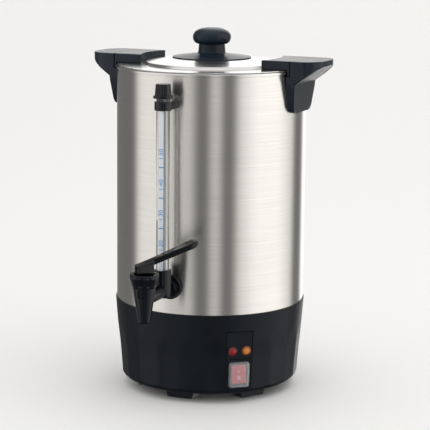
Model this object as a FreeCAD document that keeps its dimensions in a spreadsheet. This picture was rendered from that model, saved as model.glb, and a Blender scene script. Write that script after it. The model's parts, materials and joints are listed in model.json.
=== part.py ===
import FreeCAD, Part
import math
import os
import re

import Sketcher

# An electric hot-drinks urn. A double-walled steel vessel stands on a black plastic base,
# with a sight gauge and a lever tap in front and a turn-to-lock lid on top.
# Millimetres. +Z is up, the origin is where the vessel's axis meets the table, and the tap
# faces -Y. Azimuths are counted from the tap towards +X.

SIZES = {
    # vessel
    "jacket_rad": 120, "jacket_wall": 0.8, "jacket_sink": 9,
    "tank_gap": 7, "tank_wall": 1, "tank_rise": 9, "tank_corner": 8,
    "rim_top": 412, "rim_lip_out": 1.2, "rim_lip_drop": 3.5,
    # base
    "skirt_top": 115, "skirt_out": 1.5, "skirt_draft": 7.2, "skirt_low": 23, "skirt_foot": 11,
    "skirt_tuck": 10.3, "skirt_wall": 2.6, "skirt_ledge": 12,
    "facet_count": 24, "facet_stop": 11, "joint_gap": 0.1, "bottom_thick": 2.5, "bottom_gap": 0.3,
    "foot_set_in": 11, "foot_deep": 24, "foot_wide": 41, "foot_draft": 4, "foot_count": 6,
    "pad_rad": 8, "pad_thick": 1.5, "pad_sink": 1,
    "vent_wide": 4, "vent_long": 26, "vent_set_in": 10, "vent_count": 18,
    "base_screw_rad": 1.5, "base_screw_head_rad": 3, "base_screw_head": 1.6, "base_screw_out": 4.5,
    "tie_rad": 2, "tie_head_rad": 4, "tie_head": 2.4, "tie_set_in": 16, "tie_count": 3,
    "stud_rad": 4.5, "stud_long": 12,
    # heater and controls
    "heater_set_in": 14, "heater_thick": 6, "ring_set_in": 15, "ring_rad": 4, "ring_angle": 330,
    "pin_rad": 1.6, "pin_long": 14,
    "sensor_rad": 8.5, "sensor_long": 9, "sensor_foot_rad": 11, "sensor_foot": 1.2, "sensor_pitch": 22,
    "block_long": 44, "block_wide": 18, "block_tall": 15, "block_pitch": 40,
    "panel_azimuth": 42, "panel_wide": 35.4, "panel_tall": 76, "panel_drop": 59, "panel_deep": 1.4,
    "switch_wide": 19.4, "switch_tall": 25.6, "switch_wall": 2, "switch_deep": 17, "switch_drop": 18,
    "switch_flange": 1.2, "switch_flange_edge": 1,
    "rocker_gap": 0.4, "rocker_thick": 7, "rocker_rise": 3,
    "rocker_pin_rad": 1.5, "rocker_fit": 0.06, "rocker_tilt": 9,
    "boot_gap": 0.3, "boot_wall": 1.2, "boot_tall": 7.4, "boot_roof": 0.9,
    "lamp_rise": 12.4, "lamp_apart": 18, "lamp_rad": 6.1, "lamp_bezel": 1, "lamp_hole_rad": 4.6,
    "lamp_deep": 15, "lens_rad": 5, "lens_dome": 2.4,
    "gland_azimuth": 177, "gland_height": 36, "gland_wall": 2.9, "gland_flange_edge": 3,
    "gland_flange": 3, "gland_long": 16, "cord_bore_rad": 3.6,
    "gland_nut_edge": 2.5, "gland_nut_thick": 4, "gland_nut_gap": 1.8,
    # handles
    "handle_wide": 75, "handle_reach": 37, "handle_rise": 13, "handle_end": 6.5, "handle_corner": 17,
    "arc_out": 5.3, "shelf_drop": 6, "knee_out": 6.5, "knee_drop": 16, "leg_drop": 52,
    "leg_thick": 3, "leg_draft": 6, "leg_corner": 10, "seat_gap": 0.05,
    "latch_drop": 2.4, "latch_rise": 2.2, "latch_deep": 5.7, "latch_long": 13,
    "key_start": 4, "key_wide": 6, "key_deep": 3.1, "tongue_drop": 1.6, "tongue_rise": 1, "tongue_gap": 0.4,
    "handle_screw_rad": 1.6, "handle_screw_head_rad": 3, "handle_screw_head": 2.2,
    "handle_screw_long": 3.4, "handle_screw_up": 10, "handle_screw_apart": 18,
    # lid
    "lid_set_in": 0.5, "lid_sheet": 1, "gasket_web": 0.8, "lid_brim": 35, "lid_step_run": 2,
    "lid_step": 3.2, "lid_slope": 32, "lid_rise": 10,
    "gasket_gap": 2.4, "gasket_wall": 5, "gasket_deep": 7, "gasket_web_out": 4.5,
    "ear_long": 30, "ear_gap": 0.6, "hook_gap": 0.6,
    "ear_screw_rad": 1.6, "ear_screw_head_rad": 3.2, "ear_screw_head": 1.8, "ear_screw_long": 8,
    "ear_screw_set_in": 13.6, "ear_screw_apart": 44,
    "knob_disc_edge": 1.4, "knob_disc_set_in": 3, "knob_hub_rise": 6.5, "knob_neck_rad": 17,
    "knob_neck_rise": 17.5, "knob_rad": 25, "knob_wide_rise": 27, "knob_rise": 38, "knob_under_rad": 17.8,
    "knob_crown_rad": 13, "knob_crown": 1.1, "knob_edge": 3.6, "knob_shoulder": 20,
    "knob_screw_rad": 2.5, "knob_screw_head_rad": 8, "knob_screw_head": 2, "knob_screw_rise": 28,
    # gauge
    "gauge_out": 25, "glass_rad": 8, "glass_wall": 1.4, "glass_rise": 17, "glass_in_cap": 12.5,
    "cap_drop": 27.5, "cap_tall": 17.5, "cap_wall": 1.6, "cap_low_wall": 2.6, "cap_flange_edge": 4,
    "cap_flange": 3.3, "cap_fit": 0.08, "clip_drop": 14.5, "clip_tall": 11, "clip_wall": 2.5, "clip_web": 9,
    "clip_screw_rad": 1.5, "clip_screw_head_rad": 3, "clip_screw_head": 2, "clip_screw_long": 9,
    "screw_room": 0.3, "socket_wall": 2.6, "socket_deep": 9.5, "socket_drop": 8, "seal_thick": 3,
    # tap
    "tap_out": 76, "tap_rise": 34, "barrel_rad": 8.5, "barrel_wall": 3, "barrel_long_in": 14,
    "spout_drop": 29, "spout_rad": 7.35, "spout_bore": 5.2, "cone_rise": 15, "cone_rad": 14,
    "chamber_drop": 9, "neck_set_in": 2.1, "neck_wall": 1.9, "neck_rise": 6,
    "flange_edge": 6.3, "flange_thick": 3, "washer_edge": 4.9, "washer_thick": 2.5,
    "hole_gap": 0.3, "nut_edge": 4, "nut_thick": 6,
    "bonnet_fit": 0.1, "bonnet_lip": 0.2, "bonnet_flare": 3.6, "bonnet_roof": 6, "bonnet_well": 4,
    "bonnet_rim": 4.2, "flute_rad": 1.6, "flute_count": 12,
    "stem_rad": 3.6, "stem_fit": 0.08, "stem_drop": 1, "stem_flat": 4.6,
    "cup_gap": 2.5, "cup_flange": 5, "cup_boss_wall": 2, "cup_rise": 8,
    "pivot_rise": 8, "pivot_rad": 1.6, "pivot_fit": 0.05,
    "lever_azimuth": 133.4, "lever_wide": 12.6, "lever_back": 10.4, "lever_rise": 8.5,
    "lever_gap": 0.3, "lever_heel": 7.5, "lever_play": 0.8, "lever_slot_front": 8.4,
    "arm_long": 65, "arm_rise": 20, "arm_thick": 7, "arm_root_wide": 9.5, "arm_tip_wide": 18.5,
}

# What follows from the sizes above, so that fits and seats stay together when one is changed.
FORMULAS = {
    "tank_rad": "jacket_rad - tank_gap",
    "rim_lip_rad": "jacket_rad + rim_lip_out",
    "skirt_top_rad": "jacket_rad + skirt_out",
    "skirt_low_rad": "skirt_top_rad - skirt_draft",
    "skirt_foot_rad": "skirt_low_rad - skirt_tuck",
    "skirt_lip_rad": "skirt_foot_rad - skirt_ledge",
    "jacket_foot": "skirt_top - jacket_sink",
    "tank_floor": "skirt_top + tank_rise",
    "facet_fade": "skirt_top - facet_stop",
    "panel_mid": "skirt_top - panel_drop",
    "foot_out": "skirt_foot_rad - foot_set_in",
    "foot_toe_wide": "foot_wide - 2 * foot_draft",
    "base_screw_pitch": "skirt_lip_rad + base_screw_out",
    "tie_pitch": "skirt_lip_rad - tie_set_in",
    "vent_out": "tie_pitch - vent_set_in",
    "heater_rad": "tie_pitch - heater_set_in",
    "ring_pitch": "heater_rad - ring_set_in",
    "gland_rad": "cord_bore_rad + gland_wall",
    "gland_flange_rad": "gland_rad + gland_flange_edge",
    "gland_nut_rad": "gland_rad + gland_nut_edge",
    "handle_out": "jacket_rad + handle_reach",
    "handle_top": "rim_top + handle_rise",
    "arc_rad": "jacket_rad + arc_out",
    "shelf": "rim_top - shelf_drop",
    "knee_rad": "jacket_rad + knee_out",
    "knee": "rim_top - knee_drop",
    "leg_foot": "rim_top - leg_drop",
    "leg_foot_rad": "jacket_rad + leg_thick",
    "leg_foot_wide": "handle_wide - 2 * leg_draft",
    "latch_low": "rim_top - latch_drop",
    "latch_high": "rim_top + latch_rise",
    "latch_rad": "arc_rad + latch_deep",
    "key_rad": "arc_rad + key_deep",
    "tongue_low": "rim_top - tongue_drop",
    "tongue_high": "rim_top + tongue_rise",
    "handle_screw_low": "leg_foot + handle_screw_up",
    "handle_screw_high": "handle_screw_low + handle_screw_apart",
    "lid_rad": "jacket_rad - lid_set_in",
    "lid_step_rad": "jacket_rad - lid_brim",
    "lid_plateau_rad": "lid_step_rad - lid_slope",
    "lid_plateau": "rim_top + lid_rise",
    "gasket_rad": "tank_rad - gasket_gap",
    "gasket_web_rad": "tank_rad + gasket_web_out",
    "ear_in_rad": "jacket_rad - ear_long",
    "ear_hook_in": "rim_lip_rad + hook_gap",
    "ear_screw_pitch": "gasket_rad - ear_screw_set_in",
    "knob_disc_rad": "lid_plateau_rad - knob_disc_set_in",
    "knob_hub": "lid_plateau + knob_hub_rise",
    "knob_neck_top": "lid_plateau + knob_neck_rise",
    "knob_wide": "lid_plateau + knob_wide_rise",
    "knob_top": "lid_plateau + knob_rise",
    "knob_screw_top": "lid_plateau + knob_screw_rise",
    "tap_axis": "skirt_top + tap_rise",
    "tap_pitch": "jacket_rad + tap_out",
    "gauge_pitch": "jacket_rad + gauge_out",
    "glass_foot": "tap_axis + glass_rise",
    "cap_low": "rim_top - cap_drop",
    "cap_high": "cap_low + cap_tall",
    "glass_top": "cap_low + glass_in_cap",
    "cap_rad": "glass_rad + cap_wall",
    "cap_low_rad": "glass_rad + cap_low_wall",
    "cap_flange_rad": "glass_rad + cap_flange_edge",
    "clip_low": "cap_low - clip_drop",
    "clip_high": "clip_low + clip_tall",
    "clip_rad": "glass_rad + clip_wall",
    "socket_rad": "glass_rad + socket_wall",
    "socket_top": "glass_foot + socket_deep",
    "socket_base": "tap_axis - socket_drop",
    "barrel_bore": "barrel_rad - barrel_wall",
    "barrel_in": "tank_rad - barrel_long_in",
    "spout_low": "tap_axis - spout_drop",
    "cone_top": "tap_axis + cone_rise",
    "chamber_floor": "tap_axis - chamber_drop",
    "neck_rad": "cone_rad - neck_set_in",
    "neck_top": "cone_top + neck_rise",
    "chamber_rad": "neck_rad - neck_wall",
    "flange_rad": "barrel_rad + flange_edge",
    "washer_rad": "barrel_rad + washer_edge",
    "nut_rad": "barrel_rad + nut_edge",
    "bonnet_low_rad": "cone_rad + bonnet_lip",
    "bonnet_rad": "bonnet_low_rad + bonnet_flare",
    "bonnet_well_rad": "bonnet_rad - bonnet_rim",
    "bonnet_floor": "neck_top + bonnet_roof",
    "bonnet_top": "bonnet_floor + bonnet_well",
    "stem_low": "tap_axis - stem_drop",
    "cup_rad": "chamber_rad - cup_gap",
    "cup_boss_rad": "stem_rad + cup_boss_wall",
    "cup_top": "tap_axis + cup_rise",
    "pivot": "bonnet_floor + pivot_rise",
    "lever_top": "pivot + lever_rise",
    "lever_slot": "stem_flat + lever_play",
}

doc = FreeCAD.newDocument("DrinksUrn")
sheet = doc.addObject("Spreadsheet::Sheet", "sizes")
for row, (alias, size) in enumerate(SIZES.items(), start=1):
    sheet.set(f"A{row}", alias)
    sheet.set(f"B{row}", str(size))
    sheet.setAlias(f"B{row}", alias)
doc.recompute()

parts = []

WORD = r"[a-z_]{3,}"


def spelled(formula):
    """The formula with each size that follows from others replaced by what it follows from."""
    while any(word in FORMULAS for word in re.findall(WORD, formula)):
        formula = re.sub(WORD, lambda m: f"({FORMULAS[m[0]]})" if m[0] in FORMULAS else m[0], formula)
    return formula


def bound(formula):
    """The formula with each size's name pointed at the sheet."""
    return re.sub(WORD, lambda m: f"sizes.{m[0]}" if m[0] in SIZES else m[0], spelled(formula))


def value(formula):
    """The formula's number at the sheet's present sizes."""
    return float(sheet.evalExpression(spelled(formula)))


def bind(thing, **formulas):
    """Ties properties of a document object to formulas of the sheet."""
    for name, formula in formulas.items():
        thing.setExpression(name, bound(formula))
    return thing


def turned(axis, degrees):
    return FreeCAD.Rotation(FreeCAD.Vector(*axis), degrees)


UPRIGHT = turned((0, 0, 1), 0)
FORWARD = turned((1, 0, 0), 90)
SIDEWAYS = turned((0, 1, 0), 90)


def place(thing, x="0", y="0", z="0", rotation=UPRIGHT):
    """Stands an object at a point given by formulas."""
    thing.Placement = FreeCAD.Placement(FreeCAD.Vector(0, 0, 0), rotation)
    for axis, formula in (("x", x), ("y", y), ("z", z)):
        thing.setExpression(f"Placement.Base.{axis}", bound(formula))
    return thing


def cylinder(radius, length, x="0", y="0", z="0", rotation=UPRIGHT):
    thing = bind(doc.addObject("Part::Cylinder", "rod"), Radius=radius, Height=length)
    return place(thing, x, y, z, rotation)


def box(long, wide, tall, x="0", y="0", z="0"):
    """A block centred on x and y that stands on z."""
    thing = bind(doc.addObject("Part::Box", "block"), Length=long, Width=wide, Height=tall)
    return place(thing, f"({x}) - ({long}) / 2", f"({y}) - ({wide}) / 2", z)


def cut(base, *tools):
    for tool in tools:
        thing = doc.addObject("Part::Cut", "cut")
        thing.Base, thing.Tool = base, tool
        base = thing
    return base


def fuse(*shapes):
    thing = doc.addObject("Part::MultiFuse", "joined")
    thing.Shapes, thing.Refine = list(shapes), True
    return thing


def common(*shapes):
    thing = doc.addObject("Part::MultiCommon", "shared")
    thing.Shapes = list(shapes)
    return thing


def group(*shapes):
    """Separate identical solids that share one node."""
    thing = doc.addObject("Part::Compound", "group")
    thing.Links = list(shapes)
    return thing


def node(label, thing):
    """Names a finished sub-part."""
    thing.Label = label
    parts.append(thing)
    return thing


def origin_plane(body, role):
    return next(item for item in body.Origin.OriginFeatures if item.Role == role)


def outline(body, plane, points, offset="0"):
    """A closed sketch through (across, up) formulas; a third formula makes the way there an arc of that
    radius, which bulges to the right of the way for a positive radius and to the left for a negative one."""
    sketch = body.newObject("Sketcher::SketchObject", "outline")
    sketch.AttachmentSupport = (origin_plane(body, plane), "")
    sketch.MapMode = "FlatFace"
    sketch.setExpression("AttachmentOffset.Base.z", bound(offset))
    spots = [FreeCAD.Vector(value(p[0]), value(p[1]), 0) for p in points]
    ends = []
    for i, spot in enumerate(spots):
        goal, target = points[(i + 1) % len(points)], spots[(i + 1) % len(spots)]
        if len(goal) < 3:
            edge = sketch.addGeometry(Part.LineSegment(spot, target))
            ends.append((edge, 1, 2))
            continue
        radius = value(goal[2])
        chord = target - spot
        reach = math.sqrt(max(radius ** 2 - (chord.Length / 2) ** 2, 0))
        left = FreeCAD.Vector(-chord.y, chord.x, 0).normalize()
        centre = (spot + target) / 2 + left * math.copysign(reach, radius)
        circle = Part.Circle(centre, FreeCAD.Vector(0, 0, 1), abs(radius))
        first, last = (spot, target) if radius > 0 else (target, spot)
        angles = [math.atan2(p.y - centre.y, p.x - centre.x) for p in (first, last)]
        edge = sketch.addGeometry(Part.ArcOfCircle(circle, *angles))
        ends.append((edge, 1, 2) if radius > 0 else (edge, 2, 1))
        rule = sketch.addConstraint(Sketcher.Constraint("Radius", edge, abs(radius)))
        sketch.setExpression(f"Constraints[{rule}]", bound(goal[2].lstrip("-")))
    for i, (edge, start, end) in enumerate(ends):
        follower = ends[(i + 1) % len(ends)]
        sketch.addConstraint(Sketcher.Constraint("Coincident", edge, end, follower[0], follower[1]))
        for kind, formula in (("DistanceX", points[i][0]), ("DistanceY", points[i][1])):
            rule = sketch.addConstraint(Sketcher.Constraint(kind, -1, 1, edge, start, value(formula)))
            sketch.setExpression(f"Constraints[{rule}]", bound(formula))
    return sketch


def lathe(points):
    """A body turned about the vertical axis from an outline of (radius, height) formulas."""
    body = doc.addObject("PartDesign::Body", "turned")
    turn = body.newObject("PartDesign::Revolution", "turn")
    turn.Profile = outline(body, "XZ_Plane", points)
    turn.ReferenceAxis = (turn.Profile[0], ["V_Axis"])
    turn.Angle = 360
    body.Tip = turn
    return body


def extrusion(plane, points, length, offset="0", middle=False):
    """A body padded from an outline, on both sides of its plane if middle is true."""
    body = doc.addObject("PartDesign::Body", "padded")
    pad = body.newObject("PartDesign::Pad", "pad")
    pad.Profile = outline(body, plane, points, offset)
    pad.Midplane = middle
    bind(pad, Length=length)
    body.Tip = pad
    return body


def ring(item, count, start=0.0):
    """Copies of an object spaced evenly about the vertical axis."""
    copies = []
    for i in range(count):
        copy = doc.addObject("Part::Compound", "copy")
        copy.Links = [item]
        copy.Placement = FreeCAD.Placement(FreeCAD.Vector(0, 0, 0), turned((0, 0, 1), start + 360 * i / count))
        copies.append(copy)
    return copies


# ---- vessel ----------------------------------------------------------------------------------

def front_hole():
    """The round hole for the tap's barrel through both walls."""
    return cylinder("barrel_rad + hole_gap", "jacket_rad + 10", z="tap_axis", rotation=FORWARD)


def side_holes(radius):
    """The four handle screw holes, two on each side."""
    return [cylinder(radius, "2 * jacket_rad + 20", x="-jacket_rad - 10", z=height, rotation=SIDEWAYS)
            for height in ("handle_screw_low", "handle_screw_high")]


def make_jacket():
    shell = lathe([
        ("jacket_rad - jacket_wall", "jacket_foot"),
        ("jacket_rad", "jacket_foot"),
        ("jacket_rad", "rim_top - tank_wall"),
        ("jacket_rad - jacket_wall", "rim_top - tank_wall"),
    ])
    clip_hole = cylinder("clip_screw_rad", "jacket_rad + 10",
                         z="(clip_low + clip_high) / 2", rotation=FORWARD)
    node("outer_jacket", cut(shell, front_hole(), clip_hole, *side_holes("handle_screw_rad")))


def make_tank():
    pot = lathe([
        ("0", "tank_floor"),
        ("tank_rad - tank_corner", "tank_floor"),
        ("tank_rad", "tank_floor + tank_corner", "tank_corner"),
        ("tank_rad", "rim_top - tank_wall"),
        ("rim_lip_rad - tank_wall", "rim_top - tank_wall"),
        ("rim_lip_rad - tank_wall", "rim_top - rim_lip_drop"),
        ("rim_lip_rad", "rim_top - rim_lip_drop"),
        ("rim_lip_rad", "rim_top - tank_wall"),
        ("rim_lip_rad - tank_wall", "rim_top", "tank_wall"),
        ("tank_rad - tank_wall", "rim_top"),
        ("tank_rad - tank_wall", "tank_floor + tank_corner"),
        ("tank_rad - tank_corner", "tank_floor + tank_wall", "-(tank_corner - tank_wall)"),
        ("0", "tank_floor + tank_wall"),
    ])
    node("inner_tank", cut(pot, front_hole()))


def make_studs():
    stud = cut(
        cylinder("stud_rad", "stud_long", y="-tie_pitch", z="tank_floor - stud_long"),
        cylinder("tie_rad", "stud_long - 2", y="-tie_pitch", z="tank_floor - stud_long"),
    )
    node("tank_studs", group(*ring(stud, SIZES["tie_count"], 30)))


# ---- base ------------------------------------------------------------------------------------

SKIRT_SLOPE = "(skirt_top_rad - skirt_low_rad) / (skirt_top - skirt_low)"


def skirt_rad(height):
    """The skirt's outer radius at a height on its straight stretch."""
    return f"(skirt_low_rad + ({height} - skirt_low) * {SKIRT_SLOPE})"


def facet_core():
    """A tapering many-sided block whose flats shave the skirt less and less towards its top."""
    flats = []
    for height, grow in (("skirt_foot - 1", -1.0), ("facet_fade", 1.0)):
        face = doc.addObject("Part::RegularPolygon", "flats")
        face.Polygon = SIZES["facet_count"]
        apothem = f"({skirt_rad(height)}) - 0.9" if grow < 0 else f"({skirt_rad(height)}) + 0.3"
        bind(face, Circumradius=f"({apothem}) / cos(180 / facet_count)")
        turn = turned((0, 0, 1), SIZES["panel_azimuth"] - 90 + 180 / SIZES["facet_count"])
        place(face, z=height, rotation=turn)
        flats.append(face)
    body = doc.addObject("Part::Loft", "flat_sided")
    body.Sections, body.Solid, body.Ruled = flats, True, True
    band = lathe([
        ("0", "facet_fade"), ("skirt_top_rad + 20", "facet_fade"),
        ("skirt_top_rad + 20", "skirt_top + 1"), ("0", "skirt_top + 1"),
    ])
    return fuse(body, band)


def make_skirt():
    shell = lathe([
        ("skirt_foot_rad", "skirt_foot"),
        ("skirt_low_rad", "skirt_low", "skirt_low - skirt_foot"),
        ("skirt_top_rad", "skirt_top"),
        ("jacket_rad + joint_gap", "skirt_top"),
        ("jacket_rad + joint_gap", "jacket_foot"),
        ("jacket_rad - 2", "jacket_foot"),
        ("skirt_low_rad - skirt_wall - 1", "skirt_low + 2"),
        ("skirt_foot_rad - 2", "skirt_foot + bottom_thick + skirt_wall"),
        ("skirt_lip_rad", "skirt_foot + bottom_thick + skirt_wall"),
        ("skirt_lip_rad", "skirt_foot + bottom_thick"),
        ("skirt_foot_rad - 2 + bottom_gap", "skirt_foot + bottom_thick"),
        ("skirt_foot_rad - 2 + bottom_gap", "skirt_foot"),
    ])
    faceted = common(shell, facet_core())
    holes = [panel_box("panel_wide", "panel_tall", "20", "0", "-panel_deep"),
             panel_box("switch_wide + 2 * switch_wall", "switch_tall + 2 * switch_wall",
                       "20", "-switch_drop", "-15")]
    holes += [panel_rod("lamp_hole_rad", "30", side, "lamp_rise", "-20") for side in LAMP_SIDES]
    gland = bind(doc.addObject("Part::Cylinder", "rod"), Radius="gland_rad", Height="40")
    gland.Placement = gland_frame().multiply(FreeCAD.Placement(FreeCAD.Vector(0, 0, -20), UPRIGHT))
    screws = ring(cylinder("base_screw_rad", "20", y="-base_screw_pitch"), SIZES["foot_count"], 30)
    node("base_skirt", cut(faceted, *holes, gland, *screws))


def make_bottom():
    body = lathe([
        ("0", "skirt_foot"), ("skirt_foot_rad - 2", "skirt_foot"),
        ("skirt_foot_rad - 2", "skirt_foot + bottom_thick"), ("0", "skirt_foot + bottom_thick"),
    ])
    foot = body.newObject("PartDesign::Pad", "foot")
    foot.Profile = outline(body, "XZ_Plane", [
        ("-foot_toe_wide / 2", "pad_thick - pad_sink"),
        ("foot_toe_wide / 2", "pad_thick - pad_sink"),
        ("foot_wide / 2", "skirt_foot + bottom_thick / 2"),
        ("-foot_wide / 2", "skirt_foot + bottom_thick / 2"),
    ], "foot_out - foot_deep")
    bind(foot, Length="foot_deep")
    body.Tip = foot
    doc.recompute()
    feet = body.newObject("PartDesign::PolarPattern", "feet")
    feet.Originals, feet.Axis = [foot], (origin_plane(body, "Z_Axis"), [""])
    feet.Angle, feet.Occurrences = 360, SIZES["foot_count"]
    body.Tip = feet
    doc.recompute()
    vent = box("vent_wide", "vent_long", "20", y="-vent_out + vent_long / 2")
    vents = ring(vent, SIZES["vent_count"], 10)
    pads = ring(cylinder("pad_rad", "pad_thick", y="-foot_out + foot_deep / 2"), SIZES["foot_count"])
    screws = ring(cylinder("base_screw_rad", "20", y="-base_screw_pitch"), SIZES["foot_count"], 30)
    ties = ring(cylinder("tie_rad", "20", y="-tie_pitch"), SIZES["tie_count"], 30)
    node("base_bottom", cut(body, *vents, *pads, *screws, *ties))
    node("foot_pads", group(*ring(
        cylinder("pad_rad", "pad_thick", y="-foot_out + foot_deep / 2"), SIZES["foot_count"])))


def screw(shank_rad, shank, head_rad, head):
    """A screw whose head sits below z = 0 and whose shank points up."""
    return lathe([
        ("0", f"-({head})"), (head_rad, f"-({head})"), (head_rad, "0"),
        (shank_rad, "0"), (shank_rad, shank), ("0", shank),
    ])


def make_base_fasteners():
    short = screw("base_screw_rad", "bottom_thick + skirt_wall", "base_screw_head_rad", "base_screw_head")
    place(short, y="-base_screw_pitch", z="skirt_foot")
    node("base_screws", group(*ring(short, SIZES["foot_count"], 30)))
    long = screw("tie_rad", "tank_floor - 4 - skirt_foot", "tie_head_rad", "tie_head")
    place(long, y="-tie_pitch", z="skirt_foot")
    node("tie_bolts", group(*ring(long, SIZES["tie_count"], 30)))


# ---- heater ----------------------------------------------------------------------------------

def heat_ring():
    torus = doc.addObject("Part::Torus", "tube")
    bind(torus, Radius1="ring_pitch", Radius2="ring_rad", Angle3="ring_angle")
    return place(torus, z="tank_floor - heater_thick")


def make_heater():
    plate = cylinder("heater_rad", "heater_thick", z="tank_floor - heater_thick")
    node("heater_plate", cut(plate, heat_ring()))
    turn = math.radians(SIZES["ring_angle"])
    pins = []
    for side, angle in ((1, 0.0), (-1, turn)):
        spot = f"ring_pitch * {math.cos(angle + side * 0.12):.6f}", f"ring_pitch * {math.sin(angle + side * 0.12):.6f}"
        pins.append(cylinder("pin_rad", "pin_long", *spot, "tank_floor - heater_thick - pin_long"))
    node("heater_ring", fuse(heat_ring(), *pins))


def make_sensors():
    """Three disc thermostats against the heater plate, inside its ring."""
    for i, label in enumerate(("boil_thermostat", "keep_warm_thermostat", "thermal_cutout")):
        angle = math.radians(90 + 120 * i)
        spot = f"sensor_pitch * {math.cos(angle):.6f}", f"sensor_pitch * {math.sin(angle):.6f}"
        body = lathe([
            ("0", "-sensor_foot - sensor_long"), ("sensor_rad", "-sensor_foot - sensor_long"),
            ("sensor_rad", "-sensor_foot"), ("sensor_foot_rad", "-sensor_foot"),
            ("sensor_foot_rad", "0"), ("0", "0"),
        ])
        node(label, place(body, *spot, "tank_floor - heater_thick"))


def make_terminals():
    block = box("block_long", "block_wide", "block_tall", y="block_pitch", z="skirt_foot + bottom_thick")
    wells = [cylinder("2.2", "block_tall", x=f"block_long * {share}", y="block_pitch",
                      z="skirt_foot + bottom_thick + block_tall / 2") for share in (-0.33, 0, 0.33)]
    node("terminal_block", cut(block, *wells))


# ---- switch panel ----------------------------------------------------------------------------

LAMP_SIDES = ("-lamp_apart / 2", "lamp_apart / 2")


def panel_frame():
    """The panel's own frame: x across to the right, y up the slope, z out of its face."""
    azimuth = math.radians(value("panel_azimuth"))
    lean = math.degrees(math.atan(value(SKIRT_SLOPE)))
    reach = value(skirt_rad("panel_mid")) - 0.55
    spot = FreeCAD.Vector(reach * math.sin(azimuth), -reach * math.cos(azimuth), value("panel_mid"))
    face = turned((0, 0, 1), value("panel_azimuth")).multiply(turned((1, 0, 0), 90 + lean))
    return FreeCAD.Placement(spot, face)


def on_panel(thing, x="0", y="0", z="0"):
    """Moves an object made about its own origin to a spot of the panel's frame."""
    step = FreeCAD.Placement(FreeCAD.Vector(value(x), value(y), value(z)), UPRIGHT)
    thing.Placement = panel_frame().multiply(step)
    return thing


def panel_box(wide, tall, deep, up, low, side="0"):
    """A block centred across and up the panel, from a level outwards."""
    thing = bind(doc.addObject("Part::Box", "block"), Length=wide, Width=tall, Height=deep)
    return on_panel(thing, f"{side} - ({wide}) / 2", f"{up} - ({tall}) / 2", low)


def panel_rod(radius, length, side, up, low):
    thing = bind(doc.addObject("Part::Cylinder", "rod"), Radius=radius, Height=length)
    return on_panel(thing, side, up, low)


def make_switch():
    floor = "-panel_deep"
    wide, tall = "switch_wide + 2 * switch_wall", "switch_tall + 2 * switch_wall"
    shell = panel_box(wide, tall, "switch_deep", "-switch_drop", "-panel_deep - switch_deep")
    rim = panel_box(f"{wide} + 2 * switch_flange_edge", f"{tall} + 2 * switch_flange_edge",
                    "switch_flange", "-switch_drop", floor)
    well = panel_box("switch_wide", "switch_tall", "30", "-switch_drop", "-panel_deep - rocker_thick - 2.5")
    axle = bind(doc.addObject("Part::Cylinder", "rod"),
                Radius="rocker_pin_rad + rocker_fit", Height="switch_wide + 2 * switch_wall - 1")
    side = turned((0, 1, 0), 90)
    step = FreeCAD.Placement(FreeCAD.Vector(-value("switch_wide / 2 + switch_wall - 0.5"),
                                            -value("switch_drop"), value("-panel_deep - 1")), side)
    axle.Placement = panel_frame().multiply(step)
    node("switch_housing", cut(fuse(shell, rim), well, axle))


def make_rocker():
    """The rocker rests with its upper half pressed in; its axle runs across the housing."""
    half, thick, rise = "(switch_tall / 2 - rocker_gap - 1)", "rocker_thick", "rocker_rise"
    body = doc.addObject("PartDesign::Body", "rocker_body")
    pad = body.newObject("PartDesign::Pad", "rocker_pad")
    pad.Profile = outline(body, "YZ_Plane", [
        (f"-{half} + 2", f"-{thick} + 3"), (f"{half} - 2", f"-{thick} + 3"),
        (half, "1"), (half, f"{rise} + 1.4"), ("0", rise), (f"-{half}", f"{rise} + 1.4"),
        (f"-{half}", "1"),
    ])
    pad.Midplane = True
    bind(pad, Length="switch_wide - 2 * rocker_gap")
    body.Tip = pad
    axle = cylinder("rocker_pin_rad", "switch_wide + 2 * switch_wall - 1.4",
                    x="-(switch_wide + 2 * switch_wall - 1.4) / 2", rotation=SIDEWAYS)
    rocker = fuse(body, axle)
    step = FreeCAD.Placement(FreeCAD.Vector(0, -value("switch_drop"), value("-panel_deep - 1")),
                             turned((1, 0, 0), -value("rocker_tilt")))
    rocker.Placement = panel_frame().multiply(step)
    node("rocker", rocker)


def make_boot():
    wide = "switch_wide + 2 * (switch_wall + switch_flange_edge + boot_gap)"
    tall = "switch_tall + 2 * (switch_wall + switch_flange_edge + boot_gap)"
    shell = panel_box(f"{wide} + 2 * boot_wall", f"{tall} + 2 * boot_wall", "boot_tall",
                      "-switch_drop", "-panel_deep")
    room = panel_box(wide, tall, "boot_tall - boot_roof", "-switch_drop", "-panel_deep")
    node("switch_boot", cut(shell, room))


def make_lamps():
    for name, side in zip(("red", "amber"), LAMP_SIDES):
        bezel = lathe([
            ("0", "-lamp_deep"), ("lamp_hole_rad", "-lamp_deep"), ("lamp_hole_rad", "0"),
            ("lamp_rad", "0"), ("lamp_rad", "lamp_bezel"), ("lens_rad", "lamp_bezel"),
            ("lens_rad", "0.4"), ("0", "0.4"),
        ])
        node(f"{name}_lamp_body", on_panel(bezel, side, "lamp_rise", "-panel_deep"))
        lens = lathe([
            ("0", "0.4"), ("lens_rad", "0.4"), ("lens_rad", "lamp_bezel + 0.6"),
            ("0", "lamp_bezel + lens_dome", "lens_rad ^ 2 / (2 * (lens_dome - 0.6)) + (lens_dome - 0.6) / 2"),
        ])
        node(f"{name}_lens", on_panel(lens, side, "lamp_rise", "-panel_deep"))


# ---- cord gland ------------------------------------------------------------------------------

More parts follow.
